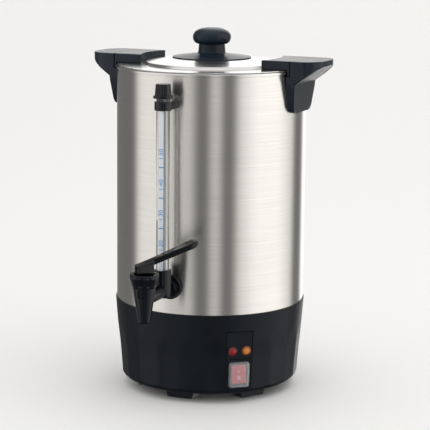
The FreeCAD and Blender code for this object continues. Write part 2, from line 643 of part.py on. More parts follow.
def gland_frame():
    """The cord gland's frame: z points level out of the skirt's back."""
    azimuth = math.radians(value("gland_azimuth"))
    reach = value(skirt_rad("gland_height"))
    spot = FreeCAD.Vector(reach * math.sin(azimuth), -reach * math.cos(azimuth), value("gland_height"))
    return FreeCAD.Placement(spot, turned((0, 0, 1), value("gland_azimuth")).multiply(FORWARD))


def make_gland():
    body = lathe([
        ("cord_bore_rad", "gland_flange - gland_long"), ("gland_rad", "gland_flange - gland_long"),
        ("gland_rad", "0.6"), ("gland_flange_rad", "0.6"),
        ("gland_flange_rad - 1", "gland_flange"), ("cord_bore_rad", "gland_flange"),
    ])
    body.Placement = gland_frame()
    node("cord_gland", body)
    nut = cut(hexagon("gland_nut_rad", "gland_nut_thick"), cylinder("gland_rad", "40", z="-10"))
    back = FreeCAD.Placement(FreeCAD.Vector(0, 0, value("-skirt_wall - gland_nut_gap - gland_nut_thick")), UPRIGHT)
    nut.Placement = gland_frame().multiply(back)
    node("gland_nut", nut)


def hexagon(radius, thick):
    """A six-sided block that stands on z = 0, of the given corner radius."""
    block = doc.addObject("Part::Prism", "hex")
    block.Polygon = 6
    return bind(block, Circumradius=radius, Height=thick)


# ---- handles ---------------------------------------------------------------------------------

def make_bracket(label, side):
    """A grip, knee and leg in one moulding, with a shelf under the lid's ear and a slot for its tongue."""
    profile = extrusion("XZ_Plane", [
        ("jacket_rad - 8", "leg_foot"), ("leg_foot_rad", "leg_foot"), ("knee_rad", "knee"),
        ("handle_out", "handle_top - handle_end"), ("handle_out", "handle_top"),
        ("jacket_rad - 8", "handle_top"),
    ], "handle_wide + 20", middle=True)
    plan = extrusion("XY_Plane", [
        ("0", "-handle_wide / 2"), ("handle_out - handle_corner", "-handle_wide / 2"),
        ("handle_out", "-handle_wide / 2 + handle_corner", "handle_corner"),
        ("handle_out", "handle_wide / 2 - handle_corner"),
        ("handle_out - handle_corner", "handle_wide / 2", "handle_corner"),
        ("0", "handle_wide / 2"),
    ], "handle_top + 10")
    face = extrusion("YZ_Plane", [
        ("-leg_foot_wide / 2 + leg_corner", "leg_foot", "leg_corner"),
        ("leg_foot_wide / 2 - leg_corner", "leg_foot"),
        ("leg_foot_wide / 2", "leg_foot + leg_corner", "leg_corner"),
        ("handle_wide / 2", "knee"), ("handle_wide / 2", "handle_top"),
        ("-handle_wide / 2", "handle_top"), ("-handle_wide / 2", "knee"),
        ("-leg_foot_wide / 2", "leg_foot + leg_corner"),
    ], "handle_out + 10")
    below = cylinder("jacket_rad + seat_gap", "shelf - leg_foot + 10", z="leg_foot - 10")
    above = cylinder("arc_rad", "handle_top - shelf + 10", z="shelf")
    slot = box("latch_rad - 100", "latch_long + 10", "latch_high - latch_low",
               x="(latch_rad + 100) / 2", y="handle_wide / 2 - latch_long / 2 + 5", z="latch_low")
    key = box("key_rad - 100", "key_wide", "handle_top - latch_low + 10",
              x="(key_rad + 100) / 2", y="handle_wide / 2 - key_start - key_wide / 2", z="latch_low")
    bites = [cylinder("handle_screw_rad", "jacket_rad - jacket_wall + handle_screw_long", z=height,
                      rotation=SIDEWAYS) for height in ("handle_screw_low", "handle_screw_high")]
    block = cut(common(profile, plan, face), below, above, slot, key, *bites)
    node(label, place(block, rotation=turned((0, 0, 1), side)))


def make_handle_screws():
    rods = []
    for side in (0, 180):
        for height in ("handle_screw_low", "handle_screw_high"):
            item = screw("handle_screw_rad", "handle_screw_long", "handle_screw_head_rad", "handle_screw_head")
            place(item, x="jacket_rad - jacket_wall - 0.04", z=height, rotation=SIDEWAYS)
            rods += [turned_copy(item, side)]
    node("handle_screws", group(*rods))


def turned_copy(item, degrees):
    copy = doc.addObject("Part::Compound", "copy")
    copy.Links = [item]
    return place(copy, rotation=turned((0, 0, 1), degrees))


# ---- lid -------------------------------------------------------------------------------------

LID_SEAT = "(rim_top + gasket_web)"
LID_TOP = "(rim_top + gasket_web + lid_sheet)"


def ear_screw_spots():
    return [(f"{way} * ear_screw_pitch", f"{hand} * ear_screw_apart / 2") for way in (1, -1) for hand in (1, -1)]


def make_lid():
    sheet_steel = lathe([
        ("0", "lid_plateau - lid_sheet"), ("lid_plateau_rad", "lid_plateau - lid_sheet"),
        ("lid_step_rad - lid_step_run", f"{LID_SEAT} + lid_step"), ("lid_step_rad", LID_SEAT),
        ("lid_rad", LID_SEAT), ("lid_rad", LID_TOP), ("lid_step_rad", LID_TOP),
        ("lid_step_rad - lid_step_run", f"{LID_TOP} + lid_step"),
        ("lid_plateau_rad", "lid_plateau"), ("0", "lid_plateau"),
    ])
    holes = [cylinder("ear_screw_rad", "40", x, y, "rim_top - 10") for x, y in ear_screw_spots()]
    node("lid_cover", cut(sheet_steel, cylinder("knob_screw_rad", "40", z="lid_plateau - 20"), *holes))


def make_gasket():
    node("lid_gasket", lathe([
        ("gasket_rad - gasket_wall", "rim_top - gasket_deep"), ("gasket_rad", "rim_top - gasket_deep"),
        ("gasket_rad + 0.6", "rim_top"), ("gasket_web_rad", "rim_top"),
        ("gasket_web_rad", LID_SEAT), ("gasket_rad - gasket_wall", LID_SEAT),
    ]))


def make_ear(label, side):
    """A block on the lid that hooks outside the rim and carries the lock's tongue."""
    outer = "arc_rad - ear_gap"
    rail = lathe([
        ("ear_in_rad", LID_TOP), ("ear_hook_in", LID_TOP), ("ear_hook_in", "shelf + 0.3"),
        (outer, "shelf + 0.3"), (outer, "handle_top"), ("ear_in_rad", "handle_top"),
    ])
    block = common(rail, box("60", "handle_wide", "40", x="ear_in_rad + 20", z="handle_top - 30"))
    tongue = lathe([
        ("ear_hook_in", "tongue_low"), ("key_rad - tongue_gap", "tongue_low"),
        ("key_rad - tongue_gap", "tongue_high"), ("ear_hook_in", "tongue_high"),
    ])
    reach = box("40", "key_wide - 2 * tongue_gap", "40", x="ear_in_rad + 35",
                y="handle_wide / 2 - key_start - key_wide / 2", z="handle_top - 30")
    holes = [cylinder("ear_screw_rad", "ear_screw_long", "ear_screw_pitch", f"{hand} * ear_screw_apart / 2", LID_TOP)
             for hand in (1, -1)]
    ear = cut(fuse(block, common(tongue, reach)), *holes)
    node(label, place(ear, rotation=turned((0, 0, 1), side)))


def make_ear_screws():
    items = []
    for x, y in ear_screw_spots():
        item = screw("ear_screw_rad", "ear_screw_long + lid_sheet", "ear_screw_head_rad", "ear_screw_head")
        items.append(place(item, x, y, LID_SEAT))
    node("ear_screws", group(*items))


def make_knob():
    base = lathe([
        ("knob_screw_rad", "lid_plateau"), ("knob_disc_rad", "lid_plateau"),
        ("knob_disc_rad", "lid_plateau + knob_disc_edge"), ("knob_neck_rad + 3", "knob_hub - 1.5"),
        ("knob_neck_rad", "knob_hub + 1.5", "-3.5"), ("knob_neck_rad", "knob_neck_top"),
        ("knob_screw_rad", "knob_neck_top"),
    ])
    node("knob_base", base)
    cap = lathe([
        ("0", "knob_neck_top"), ("knob_under_rad", "knob_neck_top"),
        ("knob_rad - knob_edge", "knob_wide - knob_edge"),
        ("knob_rad - knob_edge", "knob_wide + knob_edge", "knob_edge + 0.1"),
        ("knob_crown_rad", "knob_top - knob_crown", "knob_shoulder"),
        ("0", "knob_top", "knob_crown_rad ^ 2 / (2 * knob_crown) + knob_crown / 2"),
    ])
    node("knob_cap", cut(cap, cylinder("knob_screw_rad", "knob_screw_top - knob_neck_top", z="knob_neck_top")))
    bolt = screw("knob_screw_rad", "knob_screw_top - lid_plateau + lid_sheet", "knob_screw_head_rad", "knob_screw_head")
    node("knob_screw", place(bolt, z="lid_plateau - lid_sheet"))


# ---- sight gauge -----------------------------------------------------------------------------

def make_gauge():
    tube = lathe([
        ("glass_rad - glass_wall", "glass_foot"), ("glass_rad", "glass_foot"),
        ("glass_rad", "glass_top"), ("glass_rad - glass_wall", "glass_top"),
    ])
    node("gauge_tube", place(tube, y="-gauge_pitch"))
    seal = lathe([
        ("glass_rad - glass_wall", "glass_foot - seal_thick"), ("socket_rad - 2", "glass_foot - seal_thick"),
        ("socket_rad - 2", "glass_foot"), ("glass_rad - glass_wall", "glass_foot"),
    ])
    node("gauge_seal", place(seal, y="-gauge_pitch"))
    cap = lathe([
        ("glass_rad + cap_fit", "cap_low"), ("cap_flange_rad", "cap_low"),
        ("cap_flange_rad", "cap_low + cap_flange"), ("cap_low_rad", "cap_low + cap_flange"),
        ("cap_rad", "cap_high - 0.8"), ("cap_rad - 0.8", "cap_high"), ("1", "cap_high"),
        ("1", "glass_top + 0.3"), ("glass_rad + cap_fit", "glass_top + 0.3"),
    ])
    node("gauge_cap", place(cap, y="-gauge_pitch"))


def make_clip():
    band = cylinder("clip_rad", "clip_high - clip_low", y="-gauge_pitch", z="clip_low")
    web = cut(
        box("clip_web", "gauge_pitch - jacket_rad + 6", "clip_high - clip_low",
            y="-(gauge_pitch + jacket_rad - 6) / 2", z="clip_low"),
        cylinder("jacket_rad + seat_gap", "60", z="clip_low - 20"))
    hole = cylinder("glass_rad + seat_gap", "60", y="-gauge_pitch", z="clip_low - 20")
    bite = cylinder("clip_screw_rad", "clip_screw_long + screw_room", y="-jacket_rad + jacket_wall + 0.1",
                    z="(clip_low + clip_high) / 2", rotation=FORWARD)
    node("gauge_clip", cut(fuse(band, web), hole, bite))
    item = screw("clip_screw_rad", "clip_screw_long", "clip_screw_head_rad", "clip_screw_head")
    node("clip_screw", place(item, y="-jacket_rad + jacket_wall + 0.04",
                             z="(clip_low + clip_high) / 2", rotation=FORWARD))


# ---- tap -------------------------------------------------------------------------------------

def make_tap_body():
    cone = lathe([
        ("0", "spout_low"), ("spout_rad", "spout_low"), ("cone_rad", "cone_top"),
        ("neck_rad", "cone_top"), ("neck_rad", "neck_top"), ("0", "neck_top"),
    ])
    place(cone, y="-tap_pitch")
    barrel = cylinder("barrel_rad", "tap_pitch - barrel_in", y="-barrel_in", z="tap_axis", rotation=FORWARD)
    flange = cylinder("flange_rad", "flange_thick", y="-(jacket_rad + washer_thick)", z="tap_axis", rotation=FORWARD)
    socket = cylinder("socket_rad", "socket_top - socket_base", y="-gauge_pitch", z="socket_base")
    solid = fuse(cone, barrel, flange, socket)
    bores = [
        cylinder("spout_bore", "60", y="-tap_pitch", z="spout_low - 20"),
        cylinder("chamber_rad", "60", y="-tap_pitch", z="chamber_floor"),
        cylinder("barrel_bore", "tap_pitch - barrel_in", y="-barrel_in + 1", z="tap_axis", rotation=FORWARD),
        cylinder("socket_rad - 2", "60", y="-gauge_pitch", z="glass_foot - seal_thick"),
        cylinder("glass_rad - glass_wall", "60", y="-gauge_pitch", z="tap_axis"),
    ]
    node("tap_body", cut(solid, *bores))


def wall_washer(label, start, thick, inside):
    """A soft ring round the barrel, dished to one of the vessel's curved walls."""
    disc = cylinder("washer_rad", f"{thick} + 3", y=f"-({start} - 3)", z="tap_axis", rotation=FORWARD)
    if inside:
        disc = cylinder("washer_rad", f"{thick} + 3", y=f"-({start})", z="tap_axis", rotation=FORWARD)
        wall = cylinder("tank_rad - tank_wall", "100", z="tap_axis - 50")
        disc = common(disc, wall)
    else:
        disc = cut(disc, cylinder("jacket_rad", "100", z="tap_axis - 50"))
    hole = cylinder("barrel_rad", "200", z="tap_axis", rotation=FORWARD)
    node(label, cut(disc, hole))


def make_tap_fixings():
    wall_washer("tap_washer_outer", "jacket_rad", "washer_thick", False)
    wall_washer("tap_washer_inner", "tank_rad - tank_wall - washer_thick - 1", "washer_thick", True)
    nut = cut(hexagon("nut_rad", "nut_thick"), cylinder("barrel_rad", "40", z="-10"))
    node("tap_nut", place(nut, y="-(tank_rad - tank_wall - washer_thick - 1 - nut_thick)",
                          z="tap_axis", rotation=FORWARD))


def make_bonnet():
    collar = lathe([
        ("neck_rad + bonnet_fit", "cone_top"), ("bonnet_low_rad", "cone_top"),
        ("bonnet_rad", "bonnet_top - 4"), ("bonnet_rad", "bonnet_top"),
        ("bonnet_well_rad", "bonnet_top"), ("bonnet_well_rad", "bonnet_floor"),
        ("stem_rad + stem_fit", "bonnet_floor"), ("stem_rad + stem_fit", "neck_top"),
        ("neck_rad + bonnet_fit", "neck_top"),
    ])
    flutes = ring(cylinder("flute_rad", "40", y="-(bonnet_rad + 0.4)", z="cone_top + 3"), SIZES["flute_count"])
    node("tap_bonnet", place(cut(collar, *flutes), y="-tap_pitch"))


def make_valve():
    cup = lathe([
        ("0", "chamber_floor"), ("cup_rad", "chamber_floor"), ("cup_rad", "chamber_floor + cup_flange"),
        ("cup_boss_rad", "chamber_floor + cup_flange + 1"), ("cup_boss_rad", "cup_top"),
        ("stem_rad + stem_fit", "cup_top"), ("stem_rad + stem_fit", "stem_low - 0.3"), ("0", "stem_low - 0.3"),
    ])
    node("seat_cup", place(cup, y="-tap_pitch"))


def lever_turn():
    """The turn that takes +X, the way the lever is drawn, to its resting azimuth."""
    return turned((0, 0, 1), SIZES["lever_azimuth"] - 90)


def at_lever(thing):
    """Stands a thing drawn about the pivot's foot on the tap's axis, along the lever."""
    return place(thing, y="-tap_pitch", rotation=lever_turn())


def pivot_pin(radius, length):
    return cylinder(radius, length, y=f"({length}) / 2", z="pivot", rotation=FORWARD)


def make_stem():
    rod = cylinder("stem_rad", "pivot + 3.6 - stem_low", z="stem_low")
    sides = [box("20", "10", "20", y=f"{hand} * (stem_flat / 2 + 5)", z="bonnet_floor - 3.5") for hand in (1, -1)]
    node("tap_stem", at_lever(cut(rod, *sides, pivot_pin("pivot_rad", "20"))))
    pin = doc.addObject("Part::Compound", "pin")
    pin.Links = [pivot_pin("pivot_rad", "lever_wide - 1")]
    node("lever_pin", at_lever(pin))


def make_lever():
    rise = math.radians(value("arm_rise"))
    side = math.tan(rise)
    drop = f"({value('arm_thick') / math.cos(rise):.6f})"
    block = extrusion("XZ_Plane", [
        ("-lever_back", "bonnet_floor + lever_gap"), ("lever_heel", "bonnet_floor + lever_gap"),
        ("lever_back", "pivot - 2.7"), ("lever_back", "lever_top + 1"), ("-lever_back", "lever_top - 3"),
    ], "lever_wide", middle=True)
    arm = extrusion("XZ_Plane", [
        ("-lever_back", f"lever_top - 2 - {drop} + 3"), ("-lever_back", "lever_top - 2"),
        ("arm_long - 2", f"lever_top - 2 + (arm_long - 2 + lever_back) * {side:.6f}"),
        ("arm_long", f"lever_top - 2 + (arm_long + lever_back) * {side:.6f} - 5"),
        ("arm_long", f"lever_top - 2 + (arm_long + lever_back) * {side:.6f} - {drop} - 1"),
        ("lever_back", f"lever_top - 2 + 2 * lever_back * {side:.6f} - {drop}"),
    ], "40", middle=True)
    plan = extrusion("XY_Plane", [
        ("-lever_back - 1", "-lever_wide / 2"), ("lever_back", "-arm_root_wide / 2"),
        ("arm_long - 8", "-arm_tip_wide / 2"), ("arm_long + 1", "-arm_tip_wide / 2 + 2"),
        ("arm_long + 1", "arm_tip_wide / 2 - 2"), ("arm_long - 8", "arm_tip_wide / 2"),
        ("lever_back", "arm_root_wide / 2"), ("-lever_back - 1", "lever_wide / 2"),
    ], "lever_top + 60")
    slot = box("lever_back + 2 + lever_slot_front", "lever_slot", "pivot + 5.6 - bonnet_floor",
               x="(lever_slot_front - lever_back - 2) / 2", z="bonnet_floor")
    hole = pivot_pin("pivot_rad + pivot_fit", "30")
    lever = cut(fuse(block, common(arm, plan)), slot, hole)
    node("tap_lever", at_lever(lever))


def export():
    """Recomputes, refuses anything that failed, and writes one STEP file for each sub-part."""
    doc.recompute()
    for thing in doc.Objects:
        if {"Invalid", "Error"} & set(thing.State):
            raise RuntimeError(f"{thing.Name} {thing.Label} failed: {thing.State}")
    os.makedirs("parts", exist_ok=True)
    for thing in parts:
        shape = thing.Shape
        if shape.isNull() or not shape.isValid() or not shape.Solids:
            raise RuntimeError(f"{thing.Label} has no valid solid")
        shape.exportStep(f"parts/{thing.Label}.step")
        print(f"{thing.Label}: {len(shape.Solids)} solid(s), {shape.Volume:.0f} mm3")


make_jacket()
make_tank()
make_studs()
make_skirt()
make_bottom()
make_base_fasteners()
make_heater()
make_sensors()
make_terminals()
make_switch()
make_rocker()
make_boot()
make_lamps()
make_gland()
make_bracket("handle_bracket_right", 0)
make_bracket("handle_bracket_left", 180)
make_handle_screws()
make_lid()
make_gasket()
make_ear("lid_ear_right", 0)
make_ear("lid_ear_left", 180)
make_ear_screws()
make_knob()
make_gauge()
make_clip()
make_tap_body()
make_tap_fixings()
make_bonnet()
make_valve()
make_stem()
make_lever()
export()
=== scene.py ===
"""Visual model of a small electric hot drinks urn: steel vessel, black mouldings, sight gauge and tap.

Lengths in this file are millimetres, angles are degrees and become radians where they are used.
The mesh writer turns millimetres into metres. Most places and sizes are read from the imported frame.
"""

import json
import logging
import math
from dataclasses import dataclass
from enum import Enum
from typing import Sequence

import bmesh
import bpy
import numpy as np
from mathutils import Matrix, Vector


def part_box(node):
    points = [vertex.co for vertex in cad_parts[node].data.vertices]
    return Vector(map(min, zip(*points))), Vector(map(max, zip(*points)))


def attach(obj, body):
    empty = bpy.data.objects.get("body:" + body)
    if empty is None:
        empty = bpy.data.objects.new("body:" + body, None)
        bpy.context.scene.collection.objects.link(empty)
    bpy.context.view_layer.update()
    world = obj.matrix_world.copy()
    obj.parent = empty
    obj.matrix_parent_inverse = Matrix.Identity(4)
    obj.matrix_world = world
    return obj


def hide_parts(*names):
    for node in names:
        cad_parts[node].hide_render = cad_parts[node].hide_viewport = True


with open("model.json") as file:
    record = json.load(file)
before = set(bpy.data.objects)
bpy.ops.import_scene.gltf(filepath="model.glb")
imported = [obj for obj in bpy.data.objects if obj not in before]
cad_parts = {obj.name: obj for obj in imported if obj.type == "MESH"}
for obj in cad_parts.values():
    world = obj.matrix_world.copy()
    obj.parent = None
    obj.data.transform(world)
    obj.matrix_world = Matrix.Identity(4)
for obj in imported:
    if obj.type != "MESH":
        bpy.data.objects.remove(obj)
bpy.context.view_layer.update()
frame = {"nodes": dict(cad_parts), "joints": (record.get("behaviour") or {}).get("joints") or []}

MM = 0.001
TURNS = 192
LOG = logging.getLogger("urn")
Mesh = tuple[np.ndarray, list]


# ---- reading the frame -----------------------------------------------------------------------


def corners(node: str) -> tuple[np.ndarray, np.ndarray]:
    """A CAD node's box.

    Args:
        node: the node's name.
    Returns:
        Its lowest and highest corner, in millimetres.
    """
    low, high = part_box(node)
    return np.array(low) / MM, np.array(high) / MM


def joint_named(name: str) -> dict:
    """The record's joint of that name."""
    return next(joint for joint in frame["joints"] if joint["name"] == name)


# ---- outlines --------------------------------------------------------------------------------


def fillet(points: Sequence[tuple[float, float, float]], steps: int = 6,
           closed: bool = False) -> np.ndarray:
    """A polyline whose corners are rounded by arcs.

    Each corner (x, y, radius) becomes an arc tangent to its two runs: the arc starts at a distance of
    radius / tan(half the corner's angle) from the corner.

    Args:
        points: corners with the radius of each, 0 for a sharp one.
        steps: pieces in each arc.
        closed: whether the last corner runs back to the first.
    Returns:
        An (n, 2) array of points.
    """
    spots = np.array([p[:2] for p in points], float)
    made = []
    for index, (corner, radius) in enumerate(zip(spots, (p[2] for p in points))):
        ends = index in (0, len(spots) - 1) and not closed
        if radius <= 0 or ends:
            made.append(corner[None])
            continue
        back, ahead = spots[index - 1] - corner, spots[(index + 1) % len(spots)] - corner
        reach = min(np.linalg.norm(back), np.linalg.norm(ahead)) * 0.499
        back, ahead = back / np.linalg.norm(back), ahead / np.linalg.norm(ahead)
        half = math.acos(float(np.clip(back @ ahead, -1, 1))) / 2
        run = min(radius / math.tan(half), reach)
        size = run * math.tan(half)
        middle = back + ahead
        centre = corner + middle / np.linalg.norm(middle) * size / math.sin(half)
        first, last = corner + back * run - centre, corner + ahead * run - centre
        start = math.atan2(first[1], first[0])
        sweep = (math.atan2(last[1], last[0]) - start + math.pi) % (2 * math.pi) - math.pi
        angle = start + sweep * np.linspace(0, 1, steps + 1)
        made.append(centre + size * np.column_stack([np.cos(angle), np.sin(angle)]))
    return np.vstack(made)


def smooth_step(value: np.ndarray, low: float, high: float) -> np.ndarray:
    """0 below low, 1 above high, and 3t^2 - 2t^3 between them."""
    t = np.clip((value - low) / (high - low), 0, 1)
    return t * t * (3 - 2 * t)


def inset(loop: np.ndarray, depth: float) -> np.ndarray:
    """A closed anticlockwise outline moved inwards: each point goes along its averaged edge normal."""
    along = np.roll(loop, -1, 0) - loop
    along /= np.maximum(np.linalg.norm(along, axis=1, keepdims=True), 1e-9)
    normal = np.column_stack([-along[:, 1], along[:, 0]])
    mean = normal + np.roll(normal, 1, 0)
    share = np.maximum((mean * mean).sum(1, keepdims=True) / 2, 0.4)
    return loop + depth * mean / share


def off_angle(angle: np.ndarray, azimuth: float) -> np.ndarray:
    """How far angles lie from an azimuth counted from the front, in degrees from -180 to 180."""
    return np.degrees((angle - math.radians(azimuth - 90) + math.pi) % (2 * math.pi) - math.pi)


# ---- surfaces --------------------------------------------------------------------------------


def grid(points: np.ndarray, wrap_u: bool = False, wrap_v: bool = False) -> Mesh:
    """A surface of quads through a grid of points.

    Args:
        points: (u, v, 3) array.
        wrap_u: whether the last row joins the first.
        wrap_v: whether the last column joins the first.
    Returns:
        Vertices and faces.
    """
    rows, columns = points.shape[:2]
    u = np.arange(rows if wrap_u else rows - 1)[:, None]
    v = np.arange(columns if wrap_v else columns - 1)[None]
    u_next, v_next = (u + 1) % rows, (v + 1) % columns
    quads = np.stack([u * columns + v, u_next * columns + v, u_next * columns + v_next,
                      u * columns + v_next], -1)
    return points.reshape(-1, 3), quads.reshape(-1, 4).tolist()


def around(radius: np.ndarray, level: np.ndarray, angle: np.ndarray,
           centre: Sequence[float] = (0.0, 0.0)) -> np.ndarray:
    """Points round an upright axis: x = r cos t and y = r sin t, both from the centre.

    Args:
        radius: distances from the axis.
        level: heights.
        angle: a column of angles, in radians.
        centre: the axis in the ground plane.
    Returns:
        (angles, rows, 3) points.
    """
    return np.stack([centre[0] + radius * np.cos(angle), centre[1] + radius * np.sin(angle),
                     level + 0 * radius + 0 * angle], -1)


def lathe(profile: np.ndarray, centre: Sequence[float] = (0.0, 0.0), turns: int = TURNS,
          closed: bool = True) -> Mesh:
    """A profile of (radius, height) carried round an upright axis.

    Args:
        profile: (n, 2) array; closed, it bounds the material, and otherwise its ends lie on the axis.
        centre: the axis in the ground plane.
        turns: steps round the axis.
        closed: whether the profile runs back to its first point.
    Returns:
        Vertices and faces.
    """
    angle = np.linspace(0, 2 * math.pi, turns, endpoint=False)[:, None]
    radius, height = profile[None, :, 0], profile[None, :, 1]
    return grid(around(radius, height, angle, centre), wrap_u=True, wrap_v=closed)


def loft(sections: np.ndarray) -> Mesh:
    """Closed sections joined in order, with a face over the first and the last one.

    Args:
        sections: (k, n, 3) array of k outlines of n points.
    Returns:
        Vertices and faces.
    """
    points, faces = grid(sections, wrap_v=True)
    count, total = sections.shape[1], sections.shape[0] * sections.shape[1]
    return points, faces + [list(range(count - 1, -1, -1)), list(range(total - count, total))]


def slab(outline: np.ndarray, low: float, high: float, edge: float = 0.6, steps: int = 4) -> Mesh:
    """An outline given a height, with quarter-round edges of the given radius at both ends."""
    turn = np.linspace(0, math.pi / 2, steps + 1)
    depths = np.concatenate([edge * (1 - np.sin(turn)), edge * (1 - np.cos(turn))])
    levels = np.concatenate([low + edge * (1 - np.cos(turn)), high - edge * (1 - np.sin(turn))])
    loops = [np.column_stack([inset(outline, depth), np.full(len(outline), level)])
             for depth, level in zip(depths, levels)]
    return loft(np.stack(loops))


def moved(mesh: Mesh, origin: Sequence[float], across: Sequence[float], up: Sequence[float]) -> Mesh:
    """A mesh drawn in a local frame, set at origin with its x along across and its y along up."""
    x, y = np.array(across, float), np.array(up, float)
    axes = np.stack([x, y, np.cross(x, y)])
    return mesh[0] @ axes + np.array(origin, float), mesh[1]


def rectangle(wide: float, tall: float, radius: float, centre: Sequence[float] = (0.0, 0.0),
              steps: int = 6) -> np.ndarray:
    """An anticlockwise rectangle with rounded corners."""
    x, y = wide / 2, tall / 2
    loop = fillet([(-x, -y, radius), (x, -y, radius), (x, y, radius), (-x, y, radius)], steps, True)
    return loop + np.array(centre, float)


# ---- finishes --------------------------------------------------------------------------------


class Grain(Enum):
    """The way that a metal was brushed."""

    ROUND = "round the vessel"
    TURNED = "in rings about the axis"
    PLAIN = "no direction"


class Shader:
    """One material and the nodes that it is built from."""

    def __init__(self, name: str) -> None:
        """Makes a material of that name with a Principled surface."""
        self.material = bpy.data.materials.new(name)
        self.material.use_nodes = True
        self.tree = self.material.node_tree
        self.surface = self.tree.nodes["Principled BSDF"]

    def add(self, kind: str, inputs: dict | None = None, **settings: object) -> bpy.types.Node:
        """Adds a node.

        Args:
            kind: its type name.
            inputs: socket name or number to a value or to another node's socket.
            settings: its own properties.
        Returns:
            The node.
        """
        node = self.tree.nodes.new(kind)
        for key, setting in settings.items():
            setattr(node, key, setting)
        for key, item in (inputs or {}).items():
            self.feed(node, key, item)
        return node

    def feed(self, node: bpy.types.Node, key: str | int, item: object) -> None:
        """Links a socket, or sets it to a plain value."""
        if isinstance(item, bpy.types.NodeSocket):
            self.tree.links.new(item, node.inputs[key])
        else:
            node.inputs[key].default_value = item

    def plain(self, **values: object) -> None:
        """Sets sockets of the surface; an underscore in a name stands for a space."""
        for key, item in values.items():
            self.feed(self.surface, key.replace("_", " "), item)

    def position(self, scale: Sequence[float] = (1, 1, 1), turn: float = 0.0) -> bpy.types.NodeSocket:
        """Object coordinates, stretched and turned about Z."""
        spot = self.add("ShaderNodeTexCoord").outputs["Object"]
        stretch = self.add("ShaderNodeMapping", {"Vector": spot, "Scale": tuple(scale)})
        stretch.inputs["Rotation"].default_value = (0, 0, math.radians(turn))
        return stretch.outputs["Vector"]

    def noise(self, vector: bpy.types.NodeSocket, scale: float, detail: float = 2.0,
              rough: float = 0.5) -> bpy.types.NodeSocket:
        """Fractal noise over a vector."""
        inputs = {"Vector": vector, "Scale": scale, "Detail": detail, "Roughness": rough}
        return self.add("ShaderNodeTexNoise", inputs).outputs["Fac"]

    def span(self, factor: bpy.types.NodeSocket, low: float, high: float,
             start: float = 0.3, stop: float = 0.7) -> bpy.types.NodeSocket:
        """A factor between start and stop stretched to run from low to high."""
        inputs = {0: factor, 1: start, 2: stop, 3: low, 4: high}
        return self.add("ShaderNodeMapRange", inputs).outputs[0]

    def tinted(self, factor: bpy.types.NodeSocket, dark: Sequence[float],
               light: Sequence[float]) -> bpy.types.NodeSocket:
        """A colour that runs from dark to light with a factor."""
        node = self.add("ShaderNodeMix", data_type="RGBA")
        self.feed(node, 0, factor)
        self.feed(node, 6, (*dark, 1))
        self.feed(node, 7, (*light, 1))
        return node.outputs[2]

    def math(self, operation: str, *values: object) -> bpy.types.NodeSocket:
        """A Math node's result."""
        return self.add("ShaderNodeMath", dict(enumerate(values)), operation=operation).outputs[0]

    def bump(self, height: bpy.types.NodeSocket, depth: float, strength: float = 1.0,
             below: bpy.types.NodeSocket | None = None) -> bpy.types.NodeSocket:
        """A normal bent by a height.

        Args:
            height: the height pattern, 0 to 1.
            depth: what 1 stands for, in millimetres.
            strength: how much of it shows.
            below: an earlier bump that this one adds to.
        Returns:
            The normal.
        """
        node = self.add("ShaderNodeBump",
                        {"Height": height, "Distance": depth * MM, "Strength": strength})
        if below is not None:
            self.feed(node, "Normal", below)
        return node.outputs["Normal"]


def scaled(colour: Sequence[float], factor: float) -> tuple[float, ...]:
    """A colour made darker or lighter."""
    return tuple(min(1.0, part * factor) for part in colour)


@dataclass(frozen=True)
class Metal:
    """Bare metal with brushing lines, faint clouding and small scratches."""

    name: str
    colour: tuple[float, float, float]
    roughness: float
    grain: Grain = Grain.PLAIN
    anisotropy: float = 0.0
    line_depth: float = 0.004
    centre: tuple[float, float] = (0.0, 0.0)

    def lines(self, shader: Shader) -> bpy.types.NodeSocket:
        """The brushing: noise that is long one way and fine the other."""
        if self.grain is Grain.ROUND:
            return shader.noise(shader.position((7, 7, 850)), 1.0, 7, 0.78)
        if self.grain is Grain.TURNED:
            spot = shader.add("ShaderNodeSeparateXYZ", {0: shader.position()})
            square = (shader.math("POWER", spot.outputs[0], 2.0),
                      shader.math("POWER", spot.outputs[1], 2.0))
            radius = shader.math("SQRT", shader.math("ADD", *square))
            vector = shader.add("ShaderNodeCombineXYZ", {0: radius, 2: spot.outputs[2]}).outputs[0]
            return shader.noise(vector, 900.0, 5, 0.7)
        return shader.noise(shader.position(), 450.0, 5, 0.6)

    def build(self) -> bpy.types.Material:
        """The material."""
        shader = Shader(self.name)
        lines = self.lines(shader)
        clouds = shader.noise(shader.position(), 14.0, 3, 0.55)
        mixed = shader.math("MULTIPLY_ADD", clouds, 0.25, shader.math("MULTIPLY", lines, 0.75))
        shader.plain(Metallic=1.0)
        shader.plain(Base_Color=shader.tinted(shader.span(mixed, 0, 1, 0.36, 0.64),
                                              scaled(self.colour, 0.93), scaled(self.colour, 1.04)))
        shader.plain(Roughness=shader.span(mixed, self.roughness * 1.07, self.roughness * 0.94,
                                           0.35, 0.65))
        shader.plain(Normal=shader.bump(lines, self.line_depth, 0.6))
        if self.anisotropy:
            shader.plain(Anisotropic=self.anisotropy, Anisotropic_Rotation=0.25)
            tangent = shader.add("ShaderNodeTangent", direction_type="RADIAL", axis="Z")
            shader.plain(Tangent=tangent.outputs[0])
        return shader.material


